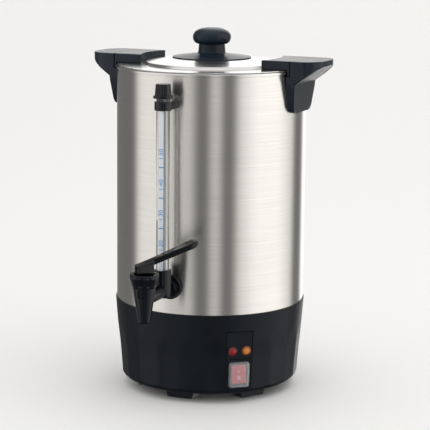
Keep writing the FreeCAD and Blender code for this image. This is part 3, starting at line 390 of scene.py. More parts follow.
@dataclass(frozen=True)
class Plastic:
    """Moulded plastic: a fine spark-eroded grain, slow flow marks and uneven gloss."""

    name: str
    colour: tuple[float, float, float]
    roughness: float
    grain_depth: float = 0.02
    grain_scale: float = 900.0
    coat: float = 0.0
    flow: float = 0.25
    shine: float = 0.3

    def build(self) -> bpy.types.Material:
        """The material."""
        shader = Shader(self.name)
        spot = shader.position()
        grain = shader.noise(spot, self.grain_scale, 4, 0.6)
        flow = shader.noise(shader.position((1, 1, 0.35)), 30.0, 3, 0.5)
        wear = shader.noise(spot, 160.0, 6, 0.7)
        shader.plain(Base_Color=shader.tinted(shader.span(flow, 0, 1),
                                              scaled(self.colour, 1 - self.flow),
                                              scaled(self.colour, 1 + self.flow)))
        uneven = shader.math("MULTIPLY_ADD", wear, 0.5, shader.math("MULTIPLY", flow, 0.5))
        shader.plain(Roughness=shader.span(uneven, self.roughness * 0.86, self.roughness * 1.14,
                                           0.35, 0.65))
        slow = shader.bump(flow, 0.05, 0.35)
        shader.plain(Normal=shader.bump(grain, self.grain_depth, 0.7, slow))
        shader.plain(Specular_IOR_Level=self.shine, Coat_Weight=self.coat, Coat_Roughness=0.05)
        return shader.material


@dataclass(frozen=True)
class Clear:
    """See-through material, from water-clear glass to milky silicone."""

    name: str
    colour: tuple[float, float, float]
    roughness: float
    passing: float = 1.0
    ior: float = 1.45
    ripple: float = 0.01
    glow: float = 0.0

    def build(self) -> bpy.types.Material:
        """The material."""
        shader = Shader(self.name)
        spot = shader.position()
        ripple = shader.noise(shader.position((1, 1, 0.2)), 220.0, 3, 0.5)
        haze = shader.noise(spot, 90.0, 4, 0.6)
        shader.plain(Base_Color=shader.tinted(haze, scaled(self.colour, 0.92),
                                              scaled(self.colour, 1.03)))
        shader.plain(Roughness=shader.span(haze, self.roughness * 0.8, self.roughness * 1.25))
        shader.plain(Transmission_Weight=self.passing, IOR=self.ior)
        shader.plain(Normal=shader.bump(ripple, self.ripple, 0.5))
        if self.glow:
            shader.plain(Emission_Color=(*self.colour, 1), Emission_Strength=self.glow)
        return shader.material


@dataclass(frozen=True)
class Paint:
    """Printing ink, an unglazed pale surface or a painted highlight, with a slight mottle."""

    name: str
    colour: tuple[float, float, float]
    roughness: float = 0.5

    def build(self) -> bpy.types.Material:
        """The material."""
        shader = Shader(self.name)
        mottle = shader.noise(shader.position(), 700.0, 3, 0.6)
        shader.plain(Base_Color=shader.tinted(mottle, scaled(self.colour, 0.85),
                                              scaled(self.colour, 1.1)))
        shader.plain(Roughness=shader.span(mottle, self.roughness * 0.9, self.roughness * 1.1))
        return shader.material


class Palette:
    """The object's finishes by slot name, each made once."""

    FINISHES = {
        "brushed_steel": Metal("brushed_steel", (0.67, 0.65, 0.62), 0.25, Grain.ROUND, 0.75, 0.0012),
        "polished_steel": Metal("polished_steel", (0.66, 0.655, 0.65), 0.20, Grain.TURNED, 0.0, 0.0015),
        "tank_steel": Metal("tank_steel", (0.66, 0.65, 0.63), 0.22, Grain.ROUND, 0.4),
        "plain_steel": Metal("plain_steel", (0.55, 0.54, 0.53), 0.34),
        "cast_aluminium": Metal("cast_aluminium", (0.60, 0.60, 0.61), 0.5, line_depth=0.05),
        "base_plastic": Plastic("base_plastic", (0.0052, 0.0074, 0.0115), 0.36, 0.012, shine=0.15),
        "handle_plastic": Plastic("handle_plastic", (0.0100, 0.0145, 0.0230), 0.32, 0.012, shine=0.26),
        "knob_plastic": Plastic("knob_plastic", (0.0085, 0.0155, 0.0250), 0.30, 0.006, shine=0.22),
        "gauge_plastic": Plastic("gauge_plastic", (0.002, 0.003, 0.005), 0.10, 0.001, coat=0.3,
                                 shine=0.2),
        "tap_plastic": Plastic("tap_plastic", (0.0035, 0.0048, 0.0080), 0.14, 0.002, coat=0.06,
                               shine=0.22),
        "lever_plastic": Plastic("lever_plastic", (0.0012, 0.0016, 0.003), 0.07, 0.001, coat=0.22,
                                 shine=0.2),
        "sensor_plastic": Plastic("sensor_plastic", (0.03, 0.03, 0.032), 0.45),
        "terminal_plastic": Plastic("terminal_plastic", (0.62, 0.60, 0.55), 0.4),
        "red_plastic": Plastic("red_plastic", (0.60, 0.035, 0.045), 0.3, 0.004, flow=0.1),
        "red_lens": Clear("red_lens", (0.46, 0.010, 0.016), 0.10, 0.45, 1.49, 0.02),
        "amber_lens": Clear("amber_lens", (0.86, 0.34, 0.04), 0.10, 0.45, 1.49, 0.02, 0.02),
        "rubber": Plastic("rubber", (0.012, 0.012, 0.012), 0.62, 0.03),
        "silicone": Plastic("silicone", (0.60, 0.60, 0.58), 0.48, 0.01, flow=0.06),
        "clear_silicone": Clear("clear_silicone", (0.95, 0.96, 1.0), 0.02, 0.86, 1.22, 0.001),
        "gauge_glass": Clear("gauge_glass", (0.985, 0.99, 0.99), 0.01, 1.0, 1.46, 0.0004),
        "red_ring": Plastic("red_ring", (0.085, 0.004, 0.007), 0.14, 0.002, coat=0.5),
        "amber_ring": Plastic("amber_ring", (0.20, 0.040, 0.006), 0.14, 0.002, coat=0.5),
        "scale_ink": Paint("scale_ink", (0.02, 0.20, 0.52), 0.4),
        "scale_white": Paint("scale_white", (0.60, 0.66, 0.72), 0.35),
        # Painted highlight: the white of the strip behind the gauge glass, which stands in for a bright
        # reflection down the glass.
        "painted_highlight_white": Paint("painted_highlight_white", (0.88, 0.89, 0.90), 0.3),
        "switch_ink": Paint("switch_ink", (0.86, 0.84, 0.82), 0.5),
        "floor_paint": Paint("floor_paint", (0.90, 0.90, 0.90), 0.7),
    }

    def __init__(self) -> None:
        """Starts with nothing made."""
        self.made: dict[str, bpy.types.Material] = {}

    def of(self, name: str) -> bpy.types.Material:
        """The material of that name, built on first use."""
        if name not in self.made:
            self.made[name] = self.FINISHES[name].build()
        return self.made[name]


PALETTE = Palette()


# ---- pieces ----------------------------------------------------------------------------------


@dataclass
class Piece:
    """One finished object: its meshes, its finish, the body it rides on and the nodes it stands for.

    Its material is the one named after its finish, and the nodes that it stands for are hidden once it
    is made.
    """

    name: str
    meshes: list[Mesh]
    finish: str
    body: str
    replaces: tuple[str, ...] = ()
    crease: float = 40.0
    bevel: float = 0.0
    levels: int = 0

    def make(self) -> bpy.types.Object:
        """Writes the mesh, merges its seams, turns its faces outwards and dresses it."""
        points = np.vstack([mesh[0] for mesh in self.meshes]) * MM
        starts = np.cumsum([0] + [len(mesh[0]) for mesh in self.meshes])
        faces = [[index + start for index in face]
                 for start, mesh in zip(starts, self.meshes) for face in mesh[1]]
        data = bpy.data.meshes.new(self.name)
        data.from_pydata(points.tolist(), [], faces)
        self.close(data)
        data.polygons.foreach_set("use_smooth", np.ones(len(data.polygons), bool))
        if not self.bevel:
            data.set_sharp_from_angle(angle=math.radians(self.crease))
        data.materials.append(PALETTE.of(self.finish))
        made = bpy.data.objects.new(self.name, data)
        bpy.context.scene.collection.objects.link(made)
        self.refine(made)
        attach(made, self.body)
        if self.replaces:
            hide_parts(*self.replaces)
        LOG.info("%s: %d faces, rides on %s", self.name, len(data.polygons), self.body)
        return made

    @staticmethod
    def close(data: bpy.types.Mesh) -> None:
        """Merges points that coincide, drops faces that vanish and points the rest outwards."""
        work = bmesh.new()
        work.from_mesh(data)
        bmesh.ops.remove_doubles(work, verts=work.verts, dist=1e-6)
        bmesh.ops.dissolve_degenerate(work, edges=work.edges, dist=1e-7)
        bmesh.ops.recalc_face_normals(work, faces=work.faces)
        work.to_mesh(data)
        work.free()

    def refine(self, made: bpy.types.Object) -> None:
        """Rounds the edges with a bevel, or smooths the whole with subdivision."""
        if self.bevel:
            bevel = made.modifiers.new("edges", "BEVEL")
            bevel.width = self.bevel * MM
            bevel.segments = 3
            bevel.limit_method = "ANGLE"
            bevel.angle_limit = math.radians(self.crease)
            made.modifiers.new("shading", "WEIGHTED_NORMAL")
        if self.levels:
            smooth = made.modifiers.new("smoothing", "SUBSURF")
            smooth.levels = smooth.render_levels = self.levels


# ---- vessel ----------------------------------------------------------------------------------


@dataclass
class Vessel:
    """The outer jacket, and the tank with the rim that is rolled over it."""

    wall: float = 0.8
    tank_wall: float = 1.0
    tank_corner: float = 8.0
    tank_gap: float = 7.0
    bead: float = 1.1

    def __post_init__(self) -> None:
        """Reads the radii and levels of the walls."""
        low, high = corners("outer_jacket")
        self.radius, self.foot = high[0], low[2]
        tank_low, tank_high = corners("inner_tank")
        self.floor, self.rim, self.lip = tank_low[2], tank_high[2], tank_high[0]
        self.tank_radius = self.radius - self.tank_gap

    def jacket(self) -> Piece:
        """A plain tube with a thin wall, brushed round."""
        out, wall, top = self.radius, self.wall, self.rim - self.tank_wall
        rows = np.linspace(self.foot, top, 24)
        outer = np.column_stack([np.full(24, out), rows])
        inner = np.column_stack([np.full(24, out - wall), rows[::-1]])
        return Piece("jacket_shell", [lathe(np.vstack([outer, inner]))], "brushed_steel", "base",
                     ("outer_jacket",))

    def tank(self) -> Piece:
        """The deep-drawn pot: floor, rounded corner, wall, and a rim rolled over the jacket's top."""
        wall, out, lip, rim = self.tank_wall, self.tank_radius, self.lip, self.rim
        corner = self.tank_corner
        profile = fillet([
            (0, self.floor, 0), (out, self.floor, corner), (out, rim - wall, 0.4),
            (lip - wall, rim - wall, 0.3), (lip - wall, rim - 3.4, 0.2), (lip, rim - 3.4, 0.3),
            (lip, rim, self.bead), (out - wall, rim, 1.4),
            (out - wall, self.floor + wall, corner - wall),
            (0, self.floor + wall, 0),
        ], 8)
        return Piece("tank_pot", [lathe(profile, closed=False)], "tank_steel", "base", ("inner_tank",))

    def build(self) -> None:
        """Makes both shells."""
        self.jacket().make()
        self.tank().make()


# ---- base ------------------------------------------------------------------------------------


@dataclass
class PanelFrame:
    """The flat switch panel's own frame on the skirt: x across, y up the slope, z out of the face."""

    azimuth: float = 42.0
    middle: float = 56.0
    set_back: float = 0.55
    slope: float = (121.5 - 114.3) / (115.0 - 23.0)
    low_radius: float = 114.3
    low_level: float = 23.0

    def __post_init__(self) -> None:
        """Works out the origin and the three directions."""
        turn = math.radians(self.azimuth)
        lean = math.atan(self.slope)
        reach = self.low_radius + (self.middle - self.low_level) * self.slope - self.set_back
        outward = np.array([math.sin(turn), -math.cos(turn), 0.0])
        self.origin = outward * reach + np.array([0, 0, self.middle])
        self.across = np.array([math.cos(turn), math.sin(turn), 0.0])
        self.up = outward * math.sin(lean) + np.array([0, 0, math.cos(lean)])
        self.out = np.cross(self.across, self.up)

    def put(self, mesh: Mesh, across: float = 0.0, up: float = 0.0, out: float = 0.0) -> Mesh:
        """A mesh drawn in the panel's frame, set at a spot of it."""
        spot = self.origin + self.across * across + self.up * up + self.out * out
        return moved(mesh, spot, self.across, self.up)


PANEL = PanelFrame()


@dataclass
class Skirt:
    """The moulded base: a cone whose flats fade out upwards, with a sunk panel for switch and lamps."""

    facets: int = 24
    wall: float = 2.6
    foot_radius: float = 104.0
    low_radius: float = 114.3
    low_level: float = 23.0
    lip_round: float = 1.0
    flat_depth: float = 1.35
    fade_low: float = 52.0
    fade_high: float = 108.0
    flat_clear: float = 0.9
    collar_deep: float = 9.0
    panel_wide: float = 35.4
    panel_tall: float = 76.0
    groove: float = 1.1
    groove_depth: float = 2.0
    lamp_field: float = -1.0
    switch_field: float = -0.7
    divider: float = 2.4

    def __post_init__(self) -> None:
        """Reads the skirt's levels and top radius."""
        low, high = corners("base_skirt")
        self.foot, self.top = low[2], high[2]
        self.top_radius = self.low_radius + (self.top - self.low_level) * PANEL.slope

    def profile(self) -> np.ndarray:
        """Outer (radius, height) rows: round lip, straight slope, and a quarter-round under edge."""
        drop = self.low_level - self.foot
        edge = [(self.top_radius - self.lip_round, self.top, 0),
                (self.top_radius, self.top, self.lip_round),
                (self.low_radius, self.low_level, 0)]
        down = fillet(edge, 5)[:-1]
        turn = np.linspace(0, math.pi / 2, 15)
        under = np.column_stack([self.foot_radius + (self.low_radius - self.foot_radius) * np.cos(turn),
                                 self.low_level - drop * np.sin(turn)])
        half = self.panel_tall / 2
        marks = [half, half - 0.3, half - self.groove, half - self.groove - 0.3,
                 self.divider, self.divider - 0.3, self.divider - self.groove,
                 self.divider - self.groove - 0.3, -half + self.groove + 0.3,
                 -half + self.groove, -half + 0.3, -half]
        levels = np.concatenate([np.linspace(down[-1, 1], self.low_level, 45)[1:-1],
                                 PANEL.middle + np.array(marks) * PANEL.up[2]])
        levels = np.unique(np.round(levels[levels > self.low_level], 3))[::-1]
        straight = np.column_stack([self.low_radius + (levels - self.low_level) * PANEL.slope, levels])
        return np.vstack([down, straight, under])

    def columns(self) -> np.ndarray:
        """Angles from the panel's middle, with close pairs at the edges of its fields."""
        plain = np.arange(0, 360, 360 / self.facets / 8) - 180
        reach = self.low_radius + (PANEL.middle - self.low_level) * PANEL.slope
        half = self.panel_wide / 2
        edges = np.array([half, half - 0.3, half - self.groove, half - self.groove - 0.3])
        sides = np.degrees(np.arcsin(np.concatenate([edges, -edges]) / reach))
        near = np.abs(np.abs(plain)[:, None] - np.abs(sides)[None]).min(1) < 0.45
        return np.sort(np.concatenate([plain[~near], sides]))

    def surface(self, profile: np.ndarray, angles: np.ndarray) -> np.ndarray:
        """The outer wall.

        The radius is the smaller of the cone's and a flat's, which is the flat's distance / cos(angle
        from its middle).
        Columns near the panel keep their distance across it, so that its edges are straight.

        Args:
            profile: rows of (radius, height).
            angles: columns, degrees from the panel's middle.
        Returns:
            (columns, rows, 3) points.
        """
        radius, level = profile[None, :, 0], profile[None, :, 1]
        cone = self.low_radius + (level - self.low_level) * PANEL.slope
        reach = self.low_radius + (PANEL.middle - self.low_level) * PANEL.slope
        delta = np.radians(angles)[:, None]
        straight = np.arcsin(np.clip(reach * np.sin(delta) / cone, -1, 1))
        away = smooth_step(np.abs(angles)[:, None], 10.0, 20.0) * np.ones_like(level)
        delta = np.where(np.abs(angles)[:, None] < 80, straight * (1 - away) + delta * away, delta)
        step = 2 * math.pi / self.facets
        off_middle = (delta + step / 2) % step - step / 2
        flat = cone - self.flat_depth * (1 - smooth_step(level, self.fade_low, self.fade_high)) \
            + self.flat_clear * smooth_step(level, self.fade_low, self.fade_high)
        radius = np.minimum(radius, flat / np.cos(off_middle))
        turn = delta + math.radians(PANEL.azimuth)
        points = np.stack([radius * np.sin(turn), -radius * np.cos(turn), level + 0 * turn], -1)
        return self.sink(points)

    def sink(self, points: np.ndarray) -> np.ndarray:
        """Moves what lies inside the panel's outline to the levels of its fields and grooves."""
        local = points - PANEL.origin
        across, up, out = local @ PANEL.across, local @ PANEL.up, local @ PANEL.out
        half_wide, half_tall, slack = self.panel_wide / 2, self.panel_tall / 2, 0.15
        front = out > -20
        inside = front & (np.abs(across) < half_wide - slack) & (np.abs(up) < half_tall - slack)
        inner = self.groove + slack
        in_field = (np.abs(across) < half_wide - inner) & (np.abs(up) < half_tall - inner)
        over_groove = (up < self.divider - slack) & (up > self.divider - self.groove - slack - 0.1)
        depth = np.where(up > self.divider - self.groove / 2, self.lamp_field, self.switch_field)
        depth = np.where(in_field & ~over_groove, depth, -self.groove_depth)
        sunk = PANEL.origin + across[..., None] * PANEL.across + up[..., None] * PANEL.up \
            + depth[..., None] * PANEL.out
        return np.where(inside[..., None], sunk, points)

    def build(self) -> None:
        """Makes the skirt as one closed shell, its inner wall set back by the wall's thickness."""
        profile = self.profile()
        outer = self.surface(profile, self.columns())
        jacket = corners("outer_jacket")[1][0] + 0.1
        inside = np.array([(self.foot_radius - 1.7, self.foot),
                           (self.foot_radius - 1.7, self.foot + 2.5),
                           (self.low_radius - self.wall - 1, self.low_level + 2),
                           (jacket - 2, self.top - self.collar_deep),
                           (jacket, self.top - self.collar_deep), (jacket, self.top)])
        turn = np.radians(self.columns() + PANEL.azimuth)[:, None]
        inner = np.stack([inside[None, :, 0] * np.sin(turn), -inside[None, :, 0] * np.cos(turn),
                          inside[None, :, 1] + 0 * turn], -1)
        shell = grid(np.concatenate([outer, inner], 1), True, True)
        Piece("skirt_shell", [shell], "base_plastic", "base", ("base_skirt",), crease=24).make()


@dataclass
class SwitchPanel:
    """The switch housing's frame, the lit rocker with its marks, the clear boot and the two lamps."""

    drop: float = 18.0
    floor: float = -1.4
    switch_wide: float = 19.4
    switch_tall: float = 25.6
    wall: float = 1.5
    flange: float = 1.2
    flange_edge: float = 0.6
    boot_gap: float = 0.2
    boot_wall: float = 1.0
    boot_tall: float = 7.4
    boot_roof: float = 0.9
    rocker_gap: float = 0.4
    rocker_thick: float = 7.0
    rocker_rise: float = 3.0
    tilt: float = 9.0
    mark_depth: float = 0.12
    lamp_rise: float = 12.4
    lamp_apart: float = 18.0
    lens_radius: float = 5.0
    bezel_radius: float = 6.1
    bezel: float = 1.0
    dome: float = 2.4
    teeth: int = 14

    def housing(self) -> Piece:
        """A rectangular well with a thin flange on the panel."""
        wide, tall = self.switch_wide + 2 * self.wall, self.switch_tall + 2 * self.wall
        edge = 2 * self.flange_edge
        loops = [
            (self.switch_wide, self.switch_tall, 0.8, self.floor - self.rocker_thick - 2),
            (self.switch_wide, self.switch_tall, 0.8, self.floor + self.flange - 0.3),
            (self.switch_wide + 0.6, self.switch_tall + 0.6, 1.0, self.floor + self.flange),
            (wide + edge - 0.8, tall + edge - 0.8, 1.6, self.floor + self.flange),
            (wide + edge, tall + edge, 2.0, self.floor + self.flange - 0.4),
            (wide + edge, tall + edge, 2.0, self.floor), (wide, tall, 1.5, self.floor),
            (wide, tall, 1.5, self.floor - 17),
        ]
        sections = np.stack([np.column_stack([rectangle(w, t, r), np.full(28, level)])
                             for w, t, r, level in loops])
        return Piece("switch_frame", [PANEL.put(loft(sections), up=-self.drop)], "base_plastic", "base",
                     ("switch_housing",))

    def key_frame(self) -> tuple[np.ndarray, np.ndarray, np.ndarray]:
        """The rocker's origin on its axle, and its across and up directions, tilted in at the top."""
        tilt = math.radians(-self.tilt)
        up = PANEL.up * math.cos(tilt) + PANEL.out * math.sin(tilt)
        origin = PANEL.origin - PANEL.up * self.drop + PANEL.out * (self.floor - 1)
        return origin, PANEL.across, up

    def rocker(self) -> list[Piece]:
        """The key, drawn as a side outline given a width, with raised marks for on and off."""
        origin, across, up = self.key_frame()
        half = self.switch_tall / 2 - self.rocker_gap - 1
        low, rise = 3 - self.rocker_thick, self.rocker_rise
        side = fillet([
            (-half + 2, low, 0.5), (half - 2, low, 0.5), (half, 1, 0.5), (half, rise + 1.4, 0.6),
            (0, rise, 12.0), (-half, rise + 1.4, 0.6), (-half, 1, 0.5),
        ], 8, True)
        wide = self.switch_wide / 2 - self.rocker_gap
        key = slab(side, -wide, wide, 0.6)
        turned = key[0][:, [2, 0, 1]], key[1]
        body = moved(turned, origin, across, up)
        slope = 1.4 / half
        bar = slab(rectangle(0.8, 3.2, 0.3), 0, self.mark_depth + 0.1, 0.05)
        ring_profile = fillet([(1.25, 0, 0.05), (1.95, 0, 0.05), (1.95, 0.22, 0.05),
                               (1.25, 0.22, 0.05)], 2, True)
        marks = []
        for mesh, height in ((bar, 3.4), (lathe(ring_profile, turns=40), -4.6)):
            lift = rise + abs(height) * slope - 0.05
            lean = math.atan(slope) * (1 if height > 0 else -1)
            turn = np.array([[1, 0, 0], [0, math.cos(lean), math.sin(lean)],
                             [0, -math.sin(lean), math.cos(lean)]])
            marks.append(moved((mesh[0] @ turn + np.array([0, height, lift]), mesh[1]),
                               origin, across, up))
        return [
            Piece("rocker_key", [body], "red_plastic", "switch_key", ("rocker",)),
            Piece("rocker_marks", marks, "switch_ink", "switch_key"),
        ]

    def boot(self) -> Piece:
        """A soft clear cover: a box with drafted sides, round edges and an even wall."""
        wide = self.switch_wide + 2 * (self.wall + self.flange_edge + self.boot_gap)
        tall = self.switch_tall + 2 * (self.wall + self.flange_edge + self.boot_gap)
        wall, top = self.boot_wall, self.floor + self.boot_tall
        outer = [(wide + 2 * wall, tall + 2 * wall, 3.0, self.floor),
                 (wide + 2 * wall - 0.4, tall + 2 * wall - 0.4, 3.0, top - 1.6),
                 (wide + 2 * wall - 1.2, tall + 2 * wall - 1.2, 2.6, top - 0.5),
                 (wide + 2 * wall - 3.0, tall + 2 * wall - 3.0, 2.0, top)]
        inner = [(w - 2 * wall, t - 2 * wall, max(r - wall, 0.8),
                  level - (self.boot_roof if level > 0 else 0))
                 for w, t, r, level in reversed(outer)]
        stations = outer + [(6.0, 12.0, 1.0, top)] + [(6.0, 12.0, 1.0, top - self.boot_roof)] + inner
        sections = np.stack([np.column_stack([rectangle(w, t, r), np.full(28, level)])
                             for w, t, r, level in stations])
        count = len(outer)
        points, faces = grid(sections, True, True)
        flat = sections.shape[1]
        faces = [face for face in faces if not self.bridges(face, flat, count, count + 1)]
        faces += [list(range(count * flat, (count + 1) * flat)),
                  list(range((count + 2) * flat - 1, (count + 1) * flat - 1, -1))]
        return Piece("boot_cover", [PANEL.put((points, faces), up=-self.drop)], "clear_silicone",
                     "base", ("switch_boot",), crease=50)

    @staticmethod
    def bridges(face: list[int], flat: int, first: int, second: int) -> bool:
        """Whether a face joins those two stations."""
        return {index // flat for index in face} == {first, second}

    def lamps(self) -> list[Piece]:
        """A black bezel, a toothed ring and a domed lens with fine rings for each lamp."""
        made = []
        for name, side in (("red", -self.lamp_apart / 2), ("amber", self.lamp_apart / 2)):
            lens, rim, bezel = self.lens_radius, self.bezel_radius, self.bezel
            body = fillet([
                (0, -15, 0), (4.6, -15, 0.3), (4.6, 0, 0), (rim, 0, 0.2), (rim, bezel, 0.45),
                (lens, bezel, 0.25), (lens - 0.1, 0.4, 0), (0, 0.4, 0),
            ], 4)
            radius = np.linspace(lens - 0.15, 0, 40)
            swell = (self.dome - 0.6) * np.sqrt(np.clip(1 - (radius / lens) ** 2, 0, 1)) ** 1.2
            rings = 0.05 * np.cos(radius * 2 * math.pi / 0.8) * (radius < lens * 0.8)
            cap = np.column_stack([radius, bezel + 0.6 + swell + rings])
            glass = np.vstack([[(0, 0.45), (lens - 0.15, 0.45)], cap])
            place = {"across": side, "up": self.lamp_rise, "out": self.floor}
            made.append(Piece(f"{name}_lamp_bezel",
                              [PANEL.put(lathe(body, turns=64, closed=False), **place)],
                              "base_plastic", "base", (f"{name}_lamp_body",)))
            made.append(Piece(f"{name}_lamp_lens",
                              [PANEL.put(lathe(glass, turns=64, closed=False), **place)],
                              f"{name}_lens", "base", (f"{name}_lens",), crease=60))
            made.append(Piece(f"{name}_lamp_ring", [PANEL.put(self.ring(), **place)], f"{name}_ring",
                              "base", crease=30))
        return made

    def ring(self) -> Mesh:
        """The lens's faceted skirt: its height swings between the teeth by a cosine of the angle."""
        inner, outer = self.lens_radius - 1.0, self.bezel_radius - 0.1
        low, high = self.bezel + 0.05, self.bezel + 2.3
        profile = fillet([(inner, low, 0), (outer, low, 0.1), (outer, high - 0.9, 0.3),
                          (inner + 0.5, high, 0.3),
                          (inner, high, 0.1)], 3, True)
        angle = np.linspace(0, 2 * math.pi, self.teeth * 6, endpoint=False)[:, None]
        radius, level = profile[None, :, 0] + 0 * angle, profile[None, :, 1]
        raised = smooth_step(level, low + 0.2, low + 0.6)
        level = level - 0.8 * raised * (0.5 - 0.5 * np.cos(angle * self.teeth))
        return grid(around(radius, level, angle), True, True)

    def build(self) -> None:
        """Makes the panel's pieces."""
        for piece in [self.housing(), *self.rocker(), self.boot(), *self.lamps()]:
            piece.make()


# ---- handles and ears ------------------------------------------------------------------------


@dataclass
class Handle:
    """One bracket: a grip with ribs under it, a knee, and a leg that lies on the jacket."""

    side: int
    arc: float = 125.3
    knee_radius: float = 126.5
    knee: float = 396.0
    end_thick: float = 6.5
    corner: float = 25.0
    shelf: float = 406.0
    leg_radius: float = 123.0
    leg_half: float = 31.5
    leg_corner: float = 10.0
    seat_gap: float = 0.05
    rib_pitch: float = 2.0
    rib_depth: float = 0.35
    rib_edge: float = 6.0
    edge: float = 1.6

    def __post_init__(self) -> None:
        """Reads the bracket's reach, width and levels."""
        low, high = corners("handle_bracket_right")
        self.out, self.half, self.foot, self.top = high[0], high[1], low[2], high[2]
        self.jacket = corners("outer_jacket")[1][0] + self.seat_gap

    def lowest(self, y: np.ndarray) -> np.ndarray:
        """The leg's lower edge at each width: round corners, then sides that spread to the knee."""
        side = np.abs(y)
        start = self.leg_half - self.leg_corner
        swing = np.clip(side - start, 0, self.leg_corner)
        curve = self.foot + self.leg_corner - np.sqrt(np.maximum(self.leg_corner ** 2 - swing ** 2, 0))
        spread = (side - self.leg_half) / (self.half - self.leg_half)
        above = self.foot + self.leg_corner + spread * (self.knee - self.foot - self.leg_corner)
        return np.where(side < self.leg_half, curve, np.minimum(above, self.knee - 0.5))

    def end_x(self, y: np.ndarray) -> np.ndarray:
        """How far out the grip's end is at each width: straight, then a quarter round."""
        swing = np.clip(np.abs(y) - (self.half - self.corner), 0, self.corner)
        return self.out - self.corner + np.sqrt(np.maximum(self.corner ** 2 - swing ** 2, 0.01))

    def section(self, y: float) -> np.ndarray:
        """The closed outline in (x, height) at one width."""
        low, end = float(self.lowest(np.array(y))), float(self.end_x(np.array(y)))
        seat = math.sqrt(self.jacket ** 2 - y * y)
        inner = math.sqrt(self.arc ** 2 - y * y)
        base = self.top - self.end_thick
        slant = (base - self.knee) / (self.out - self.knee_radius)
        under = self.knee + (end - self.knee_radius) * slant
        lean = self.knee_radius - self.leg_radius
        foot_x = self.leg_radius + lean * (low - self.foot) / (self.knee - self.foot)
        corner_points = [(seat, low), (seat, self.shelf), (inner, self.shelf), (inner, self.top),
                         (end, self.top),
                         (end, under), (self.knee_radius, self.knee), (foot_x, low)]
        counts = (6, 1, 4, 10, 3, 72, 8, 3)
        runs = []
        for (start, stop, count) in zip(corner_points, corner_points[1:] + corner_points[:1], counts):
            share = np.linspace(0, 1, count, endpoint=False)[:, None]
            runs.append(np.array(start) * (1 - share) + np.array(stop) * share)
        return np.vstack(runs)

    def ribs(self, sections: np.ndarray, stations: np.ndarray) -> np.ndarray:
        """Raises fine ribs under the grip: a wave along the slope that dies away at its edges."""
        x, z = sections[..., 0], sections[..., 2]
        base = self.top - self.end_thick
        slant = (base - self.knee) / (self.out - self.knee_radius)
        on_slope = np.abs(z - (self.knee + (x - self.knee_radius) * slant)) < 0.01
        end = self.end_x(stations)[:, None]
        room = np.minimum(end - x,
                          np.minimum(x - self.knee_radius, self.half - np.abs(stations)[:, None]))
        fade = smooth_step(room, 1.5, self.rib_edge)
        wave = 0.5 - 0.5 * np.cos(2 * math.pi * (x - self.knee_radius) / self.rib_pitch)
        sections[..., 2] += on_slope * fade * wave * self.rib_depth
        return sections

    def block(self) -> Mesh:
        """Sections carried across the width and rounded off towards both side faces."""
        edge = self.edge
        turn = np.linspace(0, math.pi / 2, 5)
        tips = self.half - edge * (1 - np.sin(turn))
        corner = self.half - self.corner * (1 - np.sin(np.linspace(0, 1, 9) * 0.42 * math.pi))
        plain = np.linspace(0, self.half - self.corner, 8)[:-1]
        right = np.unique(np.concatenate([plain, corner, [self.half - edge], tips]))
        stations = np.concatenate([-right[::-1], right[1:]])
        sections = np.stack([np.column_stack([line[:, 0], np.full(len(line), y), line[:, 1]])
                             for y, line in ((y, self.section(min(max(y, -self.half + 0.01),
                                                                  self.half - 0.01)))
                                             for y in stations)])
        sections = self.ribs(sections, stations)
        depth = np.abs(stations) - (self.half - edge)
        shrink = np.where(depth > 0, edge - np.sqrt(np.maximum(edge ** 2 - depth ** 2, 0)), 0)
        flat = sections[..., [0, 2]]
        for index in np.nonzero(shrink > 0)[0]:
            flat[index] = inset(flat[index][::-1], shrink[index])[::-1]
        sections[..., [0, 2]] = flat
        return loft(sections)

    def build(self) -> None:
        """Makes the bracket on its side of the vessel."""
        points, faces = self.block()
        node = "handle_bracket_right" if self.side > 0 else "handle_bracket_left"
        mesh = points * np.array([self.side, self.side, 1]), faces
        Piece(f"grip_{'right' if self.side > 0 else 'left'}", [mesh], "handle_plastic", "base", (node,),
              crease=28, bevel=1.0).make()


